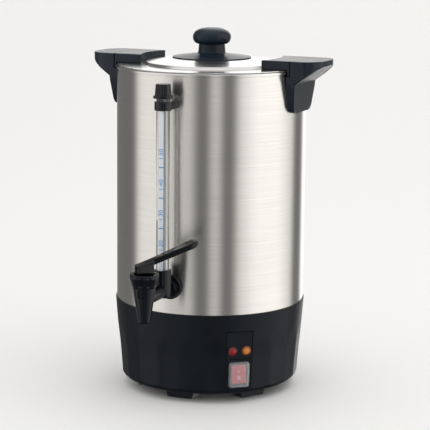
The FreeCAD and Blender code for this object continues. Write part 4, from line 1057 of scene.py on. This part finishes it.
@dataclass
class Ear:
    """One block on the lid beside a handle, with a hook outside the rim and the lock's tongue."""

    side: int
    inner: float = 90.0
    hook_in: float = 121.8
    hook_low: float = 406.3
    outer: float = 124.7
    key_radius: float = 128.0
    key_low: float = 410.4
    key_high: float = 413.0
    key_centre: float = 30.5
    key_half: float = 2.6
    key_long: float = 7.0
    key_sunk: float = 3.6
    edge: float = 1.4

    def __post_init__(self) -> None:
        """Reads the ear's width and levels."""
        high = corners("lid_ear_right")[1]
        self.half, self.top = high[1], high[2]
        self.seat = corners("lid_cover")[0][2] + 1.0

    def block(self) -> Mesh:
        """Sections of (radius, height), each bent to the arcs about the vessel's axis."""
        turn = np.linspace(0, math.pi / 2, 5)
        tips = self.half - self.edge * (1 - np.sin(turn))
        right = np.concatenate([np.linspace(0, self.half - self.edge, 16)[:-1], tips])
        stations = np.concatenate([-right[::-1], right[1:]])
        outline = np.vstack([np.linspace(a, b, count, endpoint=False) for a, b, count in (
            ((self.inner, self.seat), (self.hook_in, self.seat), 10),
            ((self.hook_in, self.seat), (self.hook_in, self.hook_low), 4),
            ((self.hook_in, self.hook_low), (self.outer, self.hook_low), 2),
            ((self.outer, self.hook_low), (self.outer, self.top), 5),
            ((self.outer, self.top), (self.inner, self.top), 10),
            ((self.inner, self.top), (self.inner, self.seat), 4))])
        depth = np.abs(stations) - (self.half - self.edge)
        shrink = np.where(depth > 0, self.edge - np.sqrt(np.maximum(self.edge ** 2 - depth ** 2, 0)), 0)
        sections = []
        for y, less in zip(stations, shrink):
            line = inset(outline, less) if less > 0 else outline
            x = np.sqrt(line[:, 0] ** 2 - y * y)
            sections.append(np.column_stack([x, np.full(len(line), y), line[:, 1]]))
        return loft(np.stack(sections))

    def tongue(self) -> Mesh:
        """The small key that slides into the handle's slot."""
        block = slab(rectangle(self.key_long, 2 * self.key_half, 0.4), self.key_low, self.key_high, 0.3)
        return block[0] + np.array([self.key_radius - self.key_long / 2 - self.key_sunk,
                                    self.key_centre, 0]), block[1]

    def build(self) -> None:
        """Makes the ear on its side of the lid."""
        word = "right" if self.side > 0 else "left"
        flip = np.array([self.side, self.side, 1])
        meshes = [(mesh[0] * flip, mesh[1]) for mesh in (self.block(), self.tongue())]
        Piece(f"ear_block_{word}", meshes, "handle_plastic", "lid", (f"lid_ear_{word}",),
              crease=28, bevel=0.9).make()


# ---- lid -------------------------------------------------------------------------------------


@dataclass
class Lid:
    """The dished steel lid with its step, and the knob on a wide black disc."""

    sheet: float = 1.0
    step_radius: float = 85.0
    step_run: float = 2.0
    step: float = 3.2
    plateau_radius: float = 53.0
    disc_edge: float = 1.4
    hub: float = 428.5
    neck_radius: float = 17.0
    neck_top: float = 439.5
    under_radius: float = 17.8
    widest: float = 448.2

    def __post_init__(self) -> None:
        """Reads the lid's and the knob's radii and levels."""
        low, high = corners("lid_cover")
        self.seat, self.radius, self.plateau = low[2], high[0], high[2]
        self.disc_radius = corners("knob_base")[1][0]
        self.knob_radius, self.top = corners("knob_cap")[1][0], corners("knob_cap")[1][2]

    def dish(self) -> Piece:
        """Upper face from rim to middle and back along the lower face, one sheet's thickness below."""
        upper = self.seat + self.sheet
        line = [(self.radius, upper, 0.45), (self.step_radius + 0.6, upper, 0.9),
                (self.step_radius - self.step_run, upper + self.step, 1.6),
                (self.plateau_radius + 6, self.plateau - 1.2, 10),
                (self.plateau_radius, self.plateau, 6)]
        above = [(0, self.plateau, 0)] + line[::-1]
        below = [(r - (0.35 if r < self.radius else 0), z - self.sheet, max(size - 0.6, 0.2))
                 for r, z, size in line]
        profile = fillet(above + below + [(0, self.plateau - self.sheet, 0)], 8)
        return Piece("lid_dish", [lathe(profile, closed=False)], "polished_steel", "lid",
                     ("lid_cover",), crease=60)

    def knob(self) -> list[Piece]:
        """The disc with its thin edge and hub, and the mushroom cap with a soft crown."""
        plateau, edge = self.plateau, self.disc_edge
        base = fillet([
            (0, plateau, 0), (self.disc_radius, plateau, 0.3), (self.disc_radius, plateau + edge, 0.8),
            (self.neck_radius + 0.4, self.hub - 0.6, 2.2),
            (self.neck_radius - 0.6, self.neck_top, 0.3), (0, self.neck_top, 0),
        ], 8)
        full, low = self.knob_radius, self.neck_top
        turn = np.linspace(0, math.pi / 2, 17)
        under = np.column_stack([self.under_radius + (full - self.under_radius) * np.sin(turn),
                                 self.widest - (self.widest - low) * np.cos(turn)])
        crown = np.column_stack([full * np.cos(turn) ** 0.75,
                                 self.widest + (self.top - self.widest) * np.sin(turn)])
        crown[-1, 0] = 0
        cap = np.vstack([[(0, low)], under, crown[1:]])
        return [
            Piece("knob_disc", [lathe(base, turns=128, closed=False)], "knob_plastic", "lid",
                  ("knob_base",), crease=45),
            Piece("knob_grip", [lathe(cap, turns=128, closed=False)], "knob_plastic", "lid",
                  ("knob_cap",), crease=60),
        ]

    def build(self) -> None:
        """Makes the lid, its knob and the two ears."""
        for piece in [self.dish(), *self.knob()]:
            piece.make()
        for side in (1, -1):
            Ear(side).build()


# ---- sight gauge -----------------------------------------------------------------------------


@dataclass
class Gauge:
    """The upright glass with its printed scale, the fluted cap on top and the clip to the jacket."""

    wall: float = 1.4
    cap_flutes: int = 10
    flute_depth: float = 0.7
    cap_flange: float = 3.3
    clip_radius: float = 10.5
    web: float = 15.0
    mark_first: float = 209.0
    mark_step: float = 18.6
    tick_count: int = 7
    first_number: int = 20
    digit_size: float = 8.2
    scale_azimuth: float = 8.0
    strip_half: float = 22.0
    # Half width in degrees of the white strip behind the glass, which is a painted highlight.
    highlight_half: float = 17.0
    below_marks: float = 34.0
    tick: tuple[float, float] = (6.0, 1.3)
    number_line: tuple[float, float] = (5.0, 0.8)

    def __post_init__(self) -> None:
        """Reads the glass, cap and clip."""
        low, high = corners("gauge_tube")
        self.centre = ((low[0] + high[0]) / 2, (low[1] + high[1]) / 2)
        self.radius, self.low, self.high = (high[0] - low[0]) / 2, low[2], high[2]
        cap_low, cap_high = corners("gauge_cap")
        self.cap_low, self.cap_high = cap_low[2], cap_high[2]
        self.flange_radius = (cap_high[0] - cap_low[0]) / 2
        clip_low, clip_high = corners("gauge_clip")
        self.clip_low, self.clip_high = clip_low[2], clip_high[2]

    def glass(self) -> Piece:
        """A tube with fire-polished ends."""
        out, wall = self.radius, self.wall
        profile = fillet([(out - wall, self.low, 0.5), (out, self.low, 0.5), (out, self.high, 0.5),
                          (out - wall, self.high, 0.5)], 3, True)
        return Piece("gauge_glass_tube", [lathe(profile, self.centre, 96)], "gauge_glass", "base",
                     ("gauge_tube",))

    def wrap(self, flat: np.ndarray, lift: float, turned: float = 0.0) -> np.ndarray:
        """Lays flat (x, z) artwork on the glass: x becomes an arc length, turned from the scale."""
        turn = flat[:, 0] / self.radius + math.radians(self.scale_azimuth + turned)
        out = self.radius + lift
        return np.column_stack([self.centre[0] + out * np.sin(turn),
                                self.centre[1] - out * np.cos(turn), flat[:, 1]])

    def bar(self, level: float, wide: float, tall: float, lifts: tuple[float, float] = (0.07, 0.12),
            turned: float = 0.0) -> Mesh:
        """A short printed line, curved to the glass."""
        x = np.linspace(-wide / 2, wide / 2, 9)
        loops = []
        for lift in lifts:
            for edge in (-tall / 2, tall / 2):
                loops.append(self.wrap(np.column_stack([x, np.full(9, level + edge)]), lift, turned))
        ring = np.stack([loops[0], loops[1], loops[3], loops[2]], 1)
        return loft(ring)

    def number(self, text: str, level: float) -> Mesh:
        """Plain figures, turned to read up the glass and curved to it."""
        curve = bpy.data.curves.new("figures", "FONT")
        curve.body, curve.size, curve.align_x, curve.align_y = text, self.digit_size, "CENTER", "CENTER"
        curve.extrude, curve.resolution_u = 0.03, 3
        holder = bpy.data.objects.new("figures", curve)
        data = bpy.data.meshes.new_from_object(holder)
        flat = np.zeros(len(data.vertices) * 3)
        data.vertices.foreach_get("co", flat)
        flat = flat.reshape(-1, 3)
        faces = [list(polygon.vertices) for polygon in data.polygons]
        bpy.data.objects.remove(holder)
        bpy.data.curves.remove(curve)
        bpy.data.meshes.remove(data)
        points = self.wrap(np.column_stack([-flat[:, 1], flat[:, 0] + level]), 0.0)
        outward = points[:, :2] - np.array(self.centre)
        outward /= np.linalg.norm(outward, axis=1, keepdims=True)
        points[:, :2] += outward * (0.10 + flat[:, 2:3])
        return points, faces

    def scale(self) -> Piece:
        """Figures at every second mark and a tick between them."""
        meshes = []
        for index in range(self.tick_count):
            level = self.mark_first + index * self.mark_step
            if index % 2:
                meshes.append(self.bar(level, *self.tick))
            else:
                meshes.append(self.number(str(self.first_number + 5 * index), level))
                meshes.append(self.bar(level - self.digit_size * 0.95, *self.number_line))
        return Piece("gauge_scale", meshes, "scale_ink", "base")

    def strips(self) -> list[Piece]:
        """The pale strip under the figures, and a white strip behind the glass that is a painted
        highlight.
        """
        wide = 2 * math.radians(self.strip_half) * self.radius
        low, high = self.mark_first - self.below_marks, self.clip_low - 1
        front = self.bar((low + high) / 2, wide, high - low, (0.01, 0.05))
        # The white strip on the back of the glass is a painted highlight: seen through the glass, it
        # stands in for the bright reflection down the tube.
        low, high = self.mark_first - self.below_marks, self.cap_low - 0.3
        wide = 2 * math.radians(self.highlight_half) * self.radius
        back = self.bar((low + high) / 2, wide, high - low, (0.005, 0.04), 180.0)
        return [Piece("gauge_strip", [front], "scale_white", "base"),
                Piece("gauge_painted_highlight", [back], "painted_highlight_white", "base")]

    def cap(self) -> Piece:
        """A fluted cap over a plain flange: the radius dips by a little at each flute, up the body."""
        low, high, flange = self.cap_low, self.cap_high, self.cap_flange
        body = fillet([
            (self.radius + 0.1, low, 0.2), (self.flange_radius, low, 0.6),
            (self.flange_radius, low + flange, 0.8),
            (self.flange_radius - 1.8, low + flange + 0.4, 0.3), (self.flange_radius - 2.9, high, 1.0),
            (0, high, 0),
        ], 6)
        rows = [body[:1]]
        for start, stop in zip(body[:-1], body[1:]):
            count = max(1, int(np.linalg.norm(stop - start) / 1.2))
            rows.append(start + (stop - start) * np.linspace(0, 1, count + 1)[1:, None])
        body = np.vstack(rows)
        turns = self.cap_flutes * 8
        angle = np.linspace(0, 2 * math.pi, turns, endpoint=False)[:, None]
        level, radius = body[None, :, 1], body[None, :, 0]
        where = smooth_step(level, low + flange + 0.4,
                            low + flange + 1.4) * (radius > self.radius * 0.8)
        dip = self.flute_depth * (0.5 - 0.5 * np.cos(angle * self.cap_flutes)) * where
        radius = radius - dip
        points = around(radius, level, angle, self.centre)
        inner = fillet([(0, self.high + 0.3, 0), (self.radius + 0.1, self.high + 0.3, 0),
                        (self.radius + 0.1, low, 0)])
        hollow = lathe(inner, self.centre, turns, False)
        return Piece("gauge_top_cap", [grid(points, True), hollow], "gauge_plastic", "gauge_top",
                     ("gauge_cap",), crease=38)

    def clip(self) -> Piece:
        """A round band on the glass and a web that reaches to the jacket."""
        low, high, out = self.clip_low, self.clip_high, self.clip_radius
        band = lathe(fillet([(self.radius + 0.05, low, 0.2), (out, low, 0.7), (out, high, 0.7),
                             (self.radius + 0.05, high, 0.2)], 4, True), self.centre, 96)
        jacket = corners("outer_jacket")[1][0]
        x = np.linspace(-self.web / 2, self.web / 2, 9)
        wall = -np.sqrt((jacket + 0.05) ** 2 - x ** 2)
        reach = self.centre[1] + np.sqrt((out - 0.6) ** 2 - x ** 2)
        loop = np.vstack([np.column_stack([x, reach]), np.column_stack([x, wall])[::-1]])
        web = slab(loop, low + 0.4, high - 0.4, 0.5)
        return Piece("gauge_clip_band", [band, web], "gauge_plastic", "base", ("gauge_clip",))

    def build(self) -> None:
        """Makes the gauge."""
        for piece in (self.glass(), *self.strips(), self.scale(), self.cap(), self.clip()):
            piece.make()


# ---- tap -------------------------------------------------------------------------------------


@dataclass
class Tap:
    """The tap's cone and barrel, its fluted bonnet and the lever."""

    spout_radius: float = 7.35
    spout_bore: float = 5.2
    cone_radius: float = 14.0
    cone_top: float = 164.0
    neck_radius: float = 11.9
    neck_top: float = 170.0
    barrel_radius: float = 8.5
    barrel_bore: float = 5.5
    flange_radius: float = 14.8
    flange_thick: float = 3.0
    washer: float = 2.5
    socket_radius: float = 10.6
    socket_top: float = 175.5
    socket_floor: float = 163.0
    seat_bore: float = 10.0
    seat_level: float = 140.0
    stem_bore: float = 3.7
    well_deep: float = 4.0
    axis_level: float = 149.0
    window_wide: float = 34.0
    window_low: float = 152.5
    window_high: float = 161.5
    window_depth: float = 2.4
    window_turn: float = 8.0
    bonnet_flutes: int = 8
    flute_depth: float = 0.7
    notch_turn: float = 14.0

    def __post_init__(self) -> None:
        """Reads the tap's axis, levels and reach."""
        low, high = corners("tap_bonnet")
        self.centre = ((low[0] + high[0]) / 2, (low[1] + high[1]) / 2)
        self.bonnet_radius, self.bonnet_low, self.bonnet_top = (high[0] - low[0]) / 2, low[2], high[2]
        body_low, body_high = corners("tap_body")
        self.spout_low, self.barrel_end = body_low[2], body_high[1]
        self.gauge_y = (corners("gauge_tube")[0][1] + corners("gauge_tube")[1][1]) / 2
        self.jacket = corners("outer_jacket")[1][0]

    def cone(self) -> Mesh:
        """The spout: a drafted cone with a shallow square window pressed in under the bonnet."""
        rows = np.linspace(self.spout_low + 0.8, self.cone_top - 0.5, 60)
        share = (rows - self.spout_low) / (self.cone_top - self.spout_low)
        side = np.column_stack([self.spout_radius + (self.cone_radius - self.spout_radius) * share,
                                rows])
        outer = np.vstack([[(self.spout_radius - 0.6, self.spout_low)], side,
                           [(self.cone_radius - 0.5, self.cone_top), (self.neck_radius, self.cone_top),
                            (self.neck_radius, self.neck_top)]])
        inner = np.array([(self.seat_bore, self.neck_top), (self.seat_bore, self.seat_level),
                          (self.spout_bore, self.seat_level - 0.1),
                          (self.spout_bore, self.spout_low)])
        profile = np.vstack([outer, inner])
        angle = np.linspace(0, 2 * math.pi, TURNS, endpoint=False)[:, None]
        radius, level = profile[None, :, 0] + 0 * angle, profile[None, :, 1] + 0 * angle
        facing = off_angle(angle, self.window_turn)
        inside = smooth_step(-np.abs(facing), -self.window_wide / 2 - 2, -self.window_wide / 2)
        inside = inside * smooth_step(level, self.window_low - 0.5, self.window_low) \
            * smooth_step(-level, -self.window_high - 0.5, -self.window_high)
        index = np.arange(profile.shape[0])[None]
        radius = radius - self.window_depth * inside * (index < len(outer) - 3)
        points = around(radius, level, angle, self.centre)
        return grid(points, True, True)

    def level_lathe(self, profile: np.ndarray, closed: bool = True) -> Mesh:
        """A (radius, distance from the vessel's axis) profile turned about the barrel's level axis."""
        mesh = lathe(profile, turns=96, closed=closed)
        return moved(mesh, (0, 0, self.axis_level), (1, 0, 0), (0, 0, 1))

    def barrel(self) -> list[Mesh]:
        """The barrel through the wall, the flange in front of the washer, and the gauge's socket."""
        front = -self.centre[1] - self.cone_radius * 0.6
        tube = self.level_lathe(fillet([
            (self.barrel_bore, -self.barrel_end, 0.3), (self.barrel_radius, -self.barrel_end, 0.6),
            (self.barrel_radius, front, 0), (self.barrel_bore, front, 0)], 3, True))
        start = self.jacket + self.washer
        thick, out = self.flange_thick, self.flange_radius
        flange = self.level_lathe(fillet([
            (self.barrel_radius - 0.4, start, 0), (out, start, 0.4), (out, start + thick, 0.6),
            (out - 2.4, start + thick, 0.2), (out - 2.8, start + thick - 0.9, 0.2),
            (out - 3.4, start + thick - 0.9, 0.2), (out - 3.8, start + thick + 0.3, 0.4),
            (self.barrel_radius + 0.4, start + thick + 0.9, 1.0),
            (self.barrel_radius - 0.4, start + thick + 2.0, 0),
        ], 4, True))
        out = self.socket_radius
        socket = lathe(fillet([
            (0, self.axis_level - 8, 0), (out - 1.0, self.axis_level - 8, 2.0),
            (out, self.axis_level + 1, 4.0),
            (out, self.socket_top, 0.7), (out - 2, self.socket_top, 0.4),
            (out - 2, self.socket_floor, 0.2), (0, self.socket_floor, 0),
        ], 5), (0, self.gauge_y), 96, False)
        return [tube, flange, socket]

    def collar(self) -> Piece:
        """The bonnet: a flared collar with wide hollows, one of them cut deeper as a notch."""
        low, high, full = self.bonnet_low, self.bonnet_top, self.bonnet_radius
        outer = fillet([(self.neck_radius + 0.1, low, 0.2), (full - 3.6, low, 0.6),
                        (full - 0.2, high - 4.2, 3.0),
                        (full, high, 0.9), (full - 4.2, high, 0.5),
                        (full - 4.4, high - self.well_deep, 0.4),
                        (self.stem_bore, high - self.well_deep, 0.2),
                        (self.stem_bore, self.neck_top, 0), (self.neck_radius + 0.1, self.neck_top, 0)],
                        6, True)
        rows = []
        for start, stop in zip(outer, np.roll(outer, -1, 0)):
            count = max(1, int(np.linalg.norm(stop - start) / 1.0))
            rows.append(start + (stop - start) * np.linspace(0, 1, count, endpoint=False)[:, None])
        profile = np.vstack(rows)
        turns = self.bonnet_flutes * 24
        angle = np.linspace(0, 2 * math.pi, turns, endpoint=False)[:, None]
        radius, level = profile[None, :, 0], profile[None, :, 1]
        outside = (radius > full - 4.0) * smooth_step(level, low + 1.2, low + 3.0)
        outside = outside * (1 - 0.75 * smooth_step(level, high - 2.4, high - 1.2))
        wave = np.clip(np.cos(angle * self.bonnet_flutes), 0, 1) ** 1.4
        notch = off_angle(angle, self.notch_turn)
        deep = 1.1 * smooth_step(-np.abs(notch), -5.0, -3.5)
        radius = radius - outside * (self.flute_depth * wave + deep)
        points = around(radius, level, angle, self.centre)
        return Piece("bonnet_collar", [grid(points, True, True)], "tap_plastic", "base",
                     ("tap_bonnet",), crease=40)

    def build(self) -> None:
        """Makes the tap's fixed pieces and the lever."""
        Piece("tap_housing", [self.cone(), *self.barrel()], "tap_plastic", "base", ("tap_body",),
              crease=38).make()
        self.collar().make()
        Lever(self.centre).build()


@dataclass
class Lever:
    """The lever: a heel that straddles the stem and an arm that widens to a thumb pad."""

    centre: tuple[float, float]
    back: float = 10.4
    heel: float = 7.5
    wide: float = 12.6
    slot: float = 5.4
    floor: float = 176.3
    pivot: float = 184.0
    top: float = 192.5
    arm_long: float = 65.0
    rise: float = 20.0
    thick: float = 7.0
    root_wide: float = 9.5
    tip_wide: float = 18.5
    dent_long: float = 12.0
    dent_wide: float = 5.2
    dent_depth: float = 1.2
    slot_roof: float = 5.7

    def __post_init__(self) -> None:
        """The lever points at right angles to its pin."""
        axis = joint_named("lever_press")["axis"]
        self.along = np.array([axis[1], -axis[0], 0.0])

    def set_up(self, mesh: Mesh) -> Mesh:
        """A mesh drawn with +X along the lever, stood on the tap's axis."""
        side = np.array([-self.along[1], self.along[0], 0.0])
        return moved(mesh, (*self.centre, 0), self.along, side)

    def cheek(self, low: float, high: float) -> Mesh:
        """One side of the heel: its side outline given the cheek's thickness."""
        outline = fillet([
            (-self.back, self.floor, 0.8), (self.heel, self.floor, 1.5),
            (self.back, self.pivot - 2.7, 2.5),
            (self.back, self.top + 1, 0.8), (-self.back, self.top - 3, 1.2),
        ], 6, True)
        block = slab(outline, low, high, 0.5)
        return block[0][:, [0, 2, 1]], block[1]

    def arm(self) -> Mesh:
        """Rounded sections along the arm: half width and thickness vary with the way along it."""
        slope = math.tan(math.radians(self.rise))
        run = np.concatenate([-self.back + 1.2 * (1 - np.cos(np.linspace(0, math.pi / 2, 5))),
                              np.linspace(-self.back + 1.2, self.arm_long - 3, 48)[1:],
                              self.arm_long - 3 + 3 * np.sin(np.linspace(0, math.pi / 2, 7)[1:])])
        widths = np.interp(run,
                           [-self.back, self.back, self.arm_long - 8, self.arm_long - 3, self.arm_long],
                           [self.wide, self.root_wide, self.tip_wide, self.tip_wide - 0.6,
                            self.tip_wide - 2.6]) / 2
        lower = self.thick / math.cos(math.radians(self.rise))
        thins = np.interp(run, [-self.back, self.back, self.arm_long - 3, self.arm_long],
                          [lower - 3, lower, lower, lower - 4.0])
        top = self.top - 2 + (run + self.back) * slope - np.interp(
            run, [self.arm_long - 3, self.arm_long], [0, 1.2])
        room = np.where(run < self.back, top - self.pivot - self.slot_roof, 99.0)
        thins = np.minimum(thins, np.maximum(room, 0.8))
        v = np.linspace(0, 2 * math.pi, 65)[:-1]
        power = 0.2
        shape_x = np.sign(np.cos(v)) * np.abs(np.cos(v)) ** power
        shape_z = np.sign(np.sin(v)) * np.abs(np.sin(v)) ** power
        y = widths[:, None] * shape_x[None]
        z = (top - thins / 2)[:, None] + thins[:, None] / 2 * shape_z[None]
        centre = self.arm_long - 5 - self.dent_long
        reach = ((run[:, None] - centre) / self.dent_long) ** 2 + (y / self.dent_wide) ** 2
        z = z - self.dent_depth * np.clip(1 - reach, 0, 1) ** 0.5 * (shape_z[None] > 0.9)
        points = np.stack([run[:, None] + 0 * y, y, z], -1)
        return loft(points)

    def build(self) -> None:
        """Joins two cheeks, a bridge over the slot and the arm."""
        half, gap = self.wide / 2, self.slot / 2
        bridge_outline = fillet([
            (-self.back + 1, self.pivot + 5.6, 0.3), (self.back - 0.6, self.pivot + 5.6, 0.3),
            (self.back - 0.6, self.top, 0.3), (-self.back + 1, self.top - 3.4, 0.3)], 3, True)
        bridge = slab(bridge_outline, -gap - 0.5, gap + 0.5, 0.2)
        bridge = bridge[0][:, [0, 2, 1]], bridge[1]
        meshes = [self.cheek(-half, -gap), self.cheek(gap, half), bridge, self.arm()]
        Piece("lever_handle", [self.set_up(mesh) for mesh in meshes], "lever_plastic", "lever",
              ("tap_lever",), crease=42).make()


# ---- carried nodes ---------------------------------------------------------------------------


class Carried:
    """CAD nodes whose shape is right: each gets its finish."""

    FINISH_OF = {
        "tank_studs": "plain_steel", "base_bottom": "base_plastic", "foot_pads": "rubber",
        "base_screws": "plain_steel", "tie_bolts": "plain_steel", "heater_plate": "cast_aluminium",
        "heater_ring": "plain_steel", "boil_thermostat": "sensor_plastic",
        "keep_warm_thermostat": "sensor_plastic",
        "thermal_cutout": "sensor_plastic", "terminal_block": "terminal_plastic",
        "cord_gland": "base_plastic",
        "gland_nut": "plain_steel", "handle_screws": "plain_steel", "lid_gasket": "silicone",
        "ear_screws": "plain_steel", "knob_screw": "plain_steel", "gauge_seal": "silicone",
        "clip_screw": "plain_steel", "tap_washer_outer": "rubber", "tap_washer_inner": "silicone",
        "tap_nut": "tap_plastic", "seat_cup": "silicone", "tap_stem": "tap_plastic",
        "lever_pin": "plain_steel",
    }

    def dress(self) -> None:
        """Gives each carried node its material."""
        for node, finish in self.FINISH_OF.items():
            item = frame["nodes"][node]
            item.data.materials.clear()
            item.data.materials.append(PALETTE.of(finish))
            LOG.info("%s: carried over in %s", node, finish)


# ---- studio ----------------------------------------------------------------------------------


@dataclass(frozen=True)
class Panel:
    """One tall soft light in the surround: where its middle stands, how wide it is and how bright."""

    angle: float
    wide: float
    brightness: float
    soft: float = 6.0


@dataclass
class Studio:
    """Camera, pale floor and a surround of tall soft panels on a dim ground.

    The camera's distance and height are millimetres; the key light's and the floor's sizes are metres.
    The panels are drawn in the surround's own shader. They show in what shines, they light everything
    evenly, and the camera sees a plain pale backdrop.
    """

    azimuth: float = 23.5
    distance: float = 2237.0
    height: float = 623.7
    pitch: float = 10.246
    roll: float = 0.508
    yaw: float = 0.146
    focal_length: float = 148.06
    sensor: float = 36.0
    ground: float = 0.20
    ambient: float = 1.0
    overhead: float = 1.1
    overhead_from: float = 50.0
    underneath: float = 0.10
    underneath_from: float = -28.0
    backdrop: float = 1.0
    key_power: float = 5.0
    key_size: float = 1.4
    key_turn: float = 40.0
    key_reach: float = 1.0
    key_height: float = 2.0
    floor_half: float = 30.0
    panels: tuple[Panel, ...] = (
        Panel(-61.5, 82.0, 0.62, 14.0),
        Panel(-78.0, 44.0, 0.34, 20.0),
        Panel(5.5, 14.0, 0.62, 11.0),
        Panel(75.0, 88.0, 0.86, 14.0),
        Panel(74.0, 54.0, 0.50, 30.0),
        Panel(168.0, 42.0, 1.35, 14.0),
    )

    def camera(self) -> None:
        """Sets the camera by its place, the way it looks and its small roll."""
        turn, pitch = math.radians(self.azimuth), math.radians(self.pitch)
        yaw, roll = math.radians(self.yaw), math.radians(self.roll)
        spin = np.array(Matrix.Rotation(turn, 3, "Z"))
        forward = spin @ np.array([math.sin(yaw) * math.cos(pitch), math.cos(yaw) * math.cos(pitch),
                                   -math.sin(pitch)])
        right = spin @ np.array([math.cos(yaw), -math.sin(yaw), 0.0])
        up = np.cross(right, forward)
        right, up = (math.cos(roll) * right + math.sin(roll) * up,
                     math.cos(roll) * up - math.sin(roll) * right)
        data = bpy.data.cameras.new("camera")
        data.lens, data.sensor_width = self.focal_length, self.sensor
        data.clip_start, data.clip_end = 0.05, 30
        made = bpy.data.objects.new("camera", data)
        place = np.eye(4)
        place[:3, 0], place[:3, 1], place[:3, 2] = right, up, -forward
        place[:3, 3] = spin @ np.array([0, -self.distance, self.height]) * MM
        made.matrix_world = Matrix(place.tolist())
        bpy.context.scene.collection.objects.link(made)
        bpy.context.scene.camera = made

    def surround(self) -> None:
        """Panels for rays off shiny things, an even light otherwise, and a backdrop for the camera.

        A panel's share at an angle is 1 inside half its width and falls to 0 over its soft edge.
        """
        world = bpy.data.worlds.new("surround")
        world.use_nodes = True
        bpy.context.scene.world = world
        tree = world.node_tree

        def put(kind: str, *values: object, **settings: object) -> bpy.types.NodeSocket:
            """Adds a node with its inputs in order and gives its first output."""
            node = tree.nodes.new(kind)
            for key, setting in settings.items():
                setattr(node, key, setting)
            for index, item in enumerate(values):
                if isinstance(item, bpy.types.NodeSocket):
                    tree.links.new(item, node.inputs[index])
                else:
                    node.inputs[index].default_value = item
            return node.outputs[0]

        def work(operation: str, *values: object) -> bpy.types.NodeSocket:
            """A Math node's result."""
            return put("ShaderNodeMath", *values, operation=operation)

        way = tree.nodes.new("ShaderNodeTexCoord").outputs["Generated"]
        turned = put("ShaderNodeVectorRotate", way, (0, 0, 0), (0, 0, 1), math.radians(-self.azimuth))
        parts = tree.nodes.new("ShaderNodeSeparateXYZ")
        tree.links.new(turned, parts.inputs[0])
        side, back, rise = parts.outputs
        angle = work("DEGREES", work("ARCTAN2", side, work("MULTIPLY", back, -1.0)))
        light: object = self.ground
        for panel in self.panels:
            off = work("WRAP", work("SUBTRACT", angle, panel.angle), 180.0, -180.0)
            half = panel.wide / 2
            share = put("ShaderNodeMapRange", work("ABSOLUTE", off), half + panel.soft / 2,
                        half - panel.soft / 2,
                        0.0, 1.0, interpolation_type="SMOOTHSTEP")
            light = work("MULTIPLY_ADD", share, panel.brightness, light)
        level = work("DEGREES", work("ARCSINE", rise))
        top = put("ShaderNodeMapRange", level, self.overhead_from - 8, self.overhead_from + 8, 0.0, 1.0,
                  interpolation_type="SMOOTHSTEP")
        light = work("MULTIPLY_ADD", work("SUBTRACT", self.overhead, light), top, light)
        low = put("ShaderNodeMapRange", level, self.underneath_from + 6, self.underneath_from - 6,
                  0.0, 1.0, interpolation_type="SMOOTHSTEP")
        light = work("MULTIPLY_ADD", work("SUBTRACT", self.underneath, light), low, light)
        rays = tree.nodes.new("ShaderNodeLightPath")
        even = work("MULTIPLY_ADD", work("SUBTRACT", light, self.ambient),
                    rays.outputs["Is Glossy Ray"], self.ambient)
        seen = work("MULTIPLY_ADD", work("SUBTRACT", self.backdrop, even),
                    rays.outputs["Is Camera Ray"], even)
        background = tree.nodes["Background"]
        background.inputs["Color"].default_value = (1.0, 0.99, 0.975, 1)
        tree.links.new(seen, background.inputs["Strength"])

    def floor(self) -> None:
        """A wide pale floor; it stays out of reflections, as a low table does."""
        size = self.floor_half
        data = bpy.data.meshes.new("floor")
        data.from_pydata([(-size, -size, 0), (size, -size, 0), (size, size, 0), (-size, size, 0)], [],
                         [(0, 1, 2, 3)])
        data.materials.append(PALETTE.of("floor_paint"))
        made = bpy.data.objects.new("floor", data)
        made.visible_glossy = False
        bpy.context.scene.collection.objects.link(made)

    def key(self) -> None:
        """One large soft light above and to the right, for a little modelling and a soft shadow."""
        data = bpy.data.lights.new("key_box", "AREA")
        data.shape, data.energy = "RECTANGLE", self.key_power
        data.size = data.size_y = self.key_size
        made = bpy.data.objects.new("key_box", data)
        turn = math.radians(self.azimuth + self.key_turn)
        made.location = (math.sin(turn) * self.key_reach, -math.cos(turn) * self.key_reach,
                         self.key_height)
        aim = Vector(tuple(-part for part in made.location))
        made.rotation_euler = aim.to_track_quat("-Z", "Y").to_euler()
        made.visible_camera = made.visible_glossy = False
        bpy.context.scene.collection.objects.link(made)

    def build(self) -> None:
        """Makes everything that isn't the object."""
        bpy.context.scene.view_settings.view_transform = "Standard"
        self.camera()
        self.surround()
        self.key()
        self.floor()


def main() -> None:
    """Builds the sub-assemblies in order."""
    logging.basicConfig(level=logging.INFO, format="%(name)s %(message)s")
    Studio().build()
    Carried().dress()
    Vessel().build()
    Skirt().build()
    SwitchPanel().build()
    for side in (1, -1):
        Handle(side).build()
    Lid().build()
    Gauge().build()
    Tap().build()


if __name__ == "__main__":
    main()
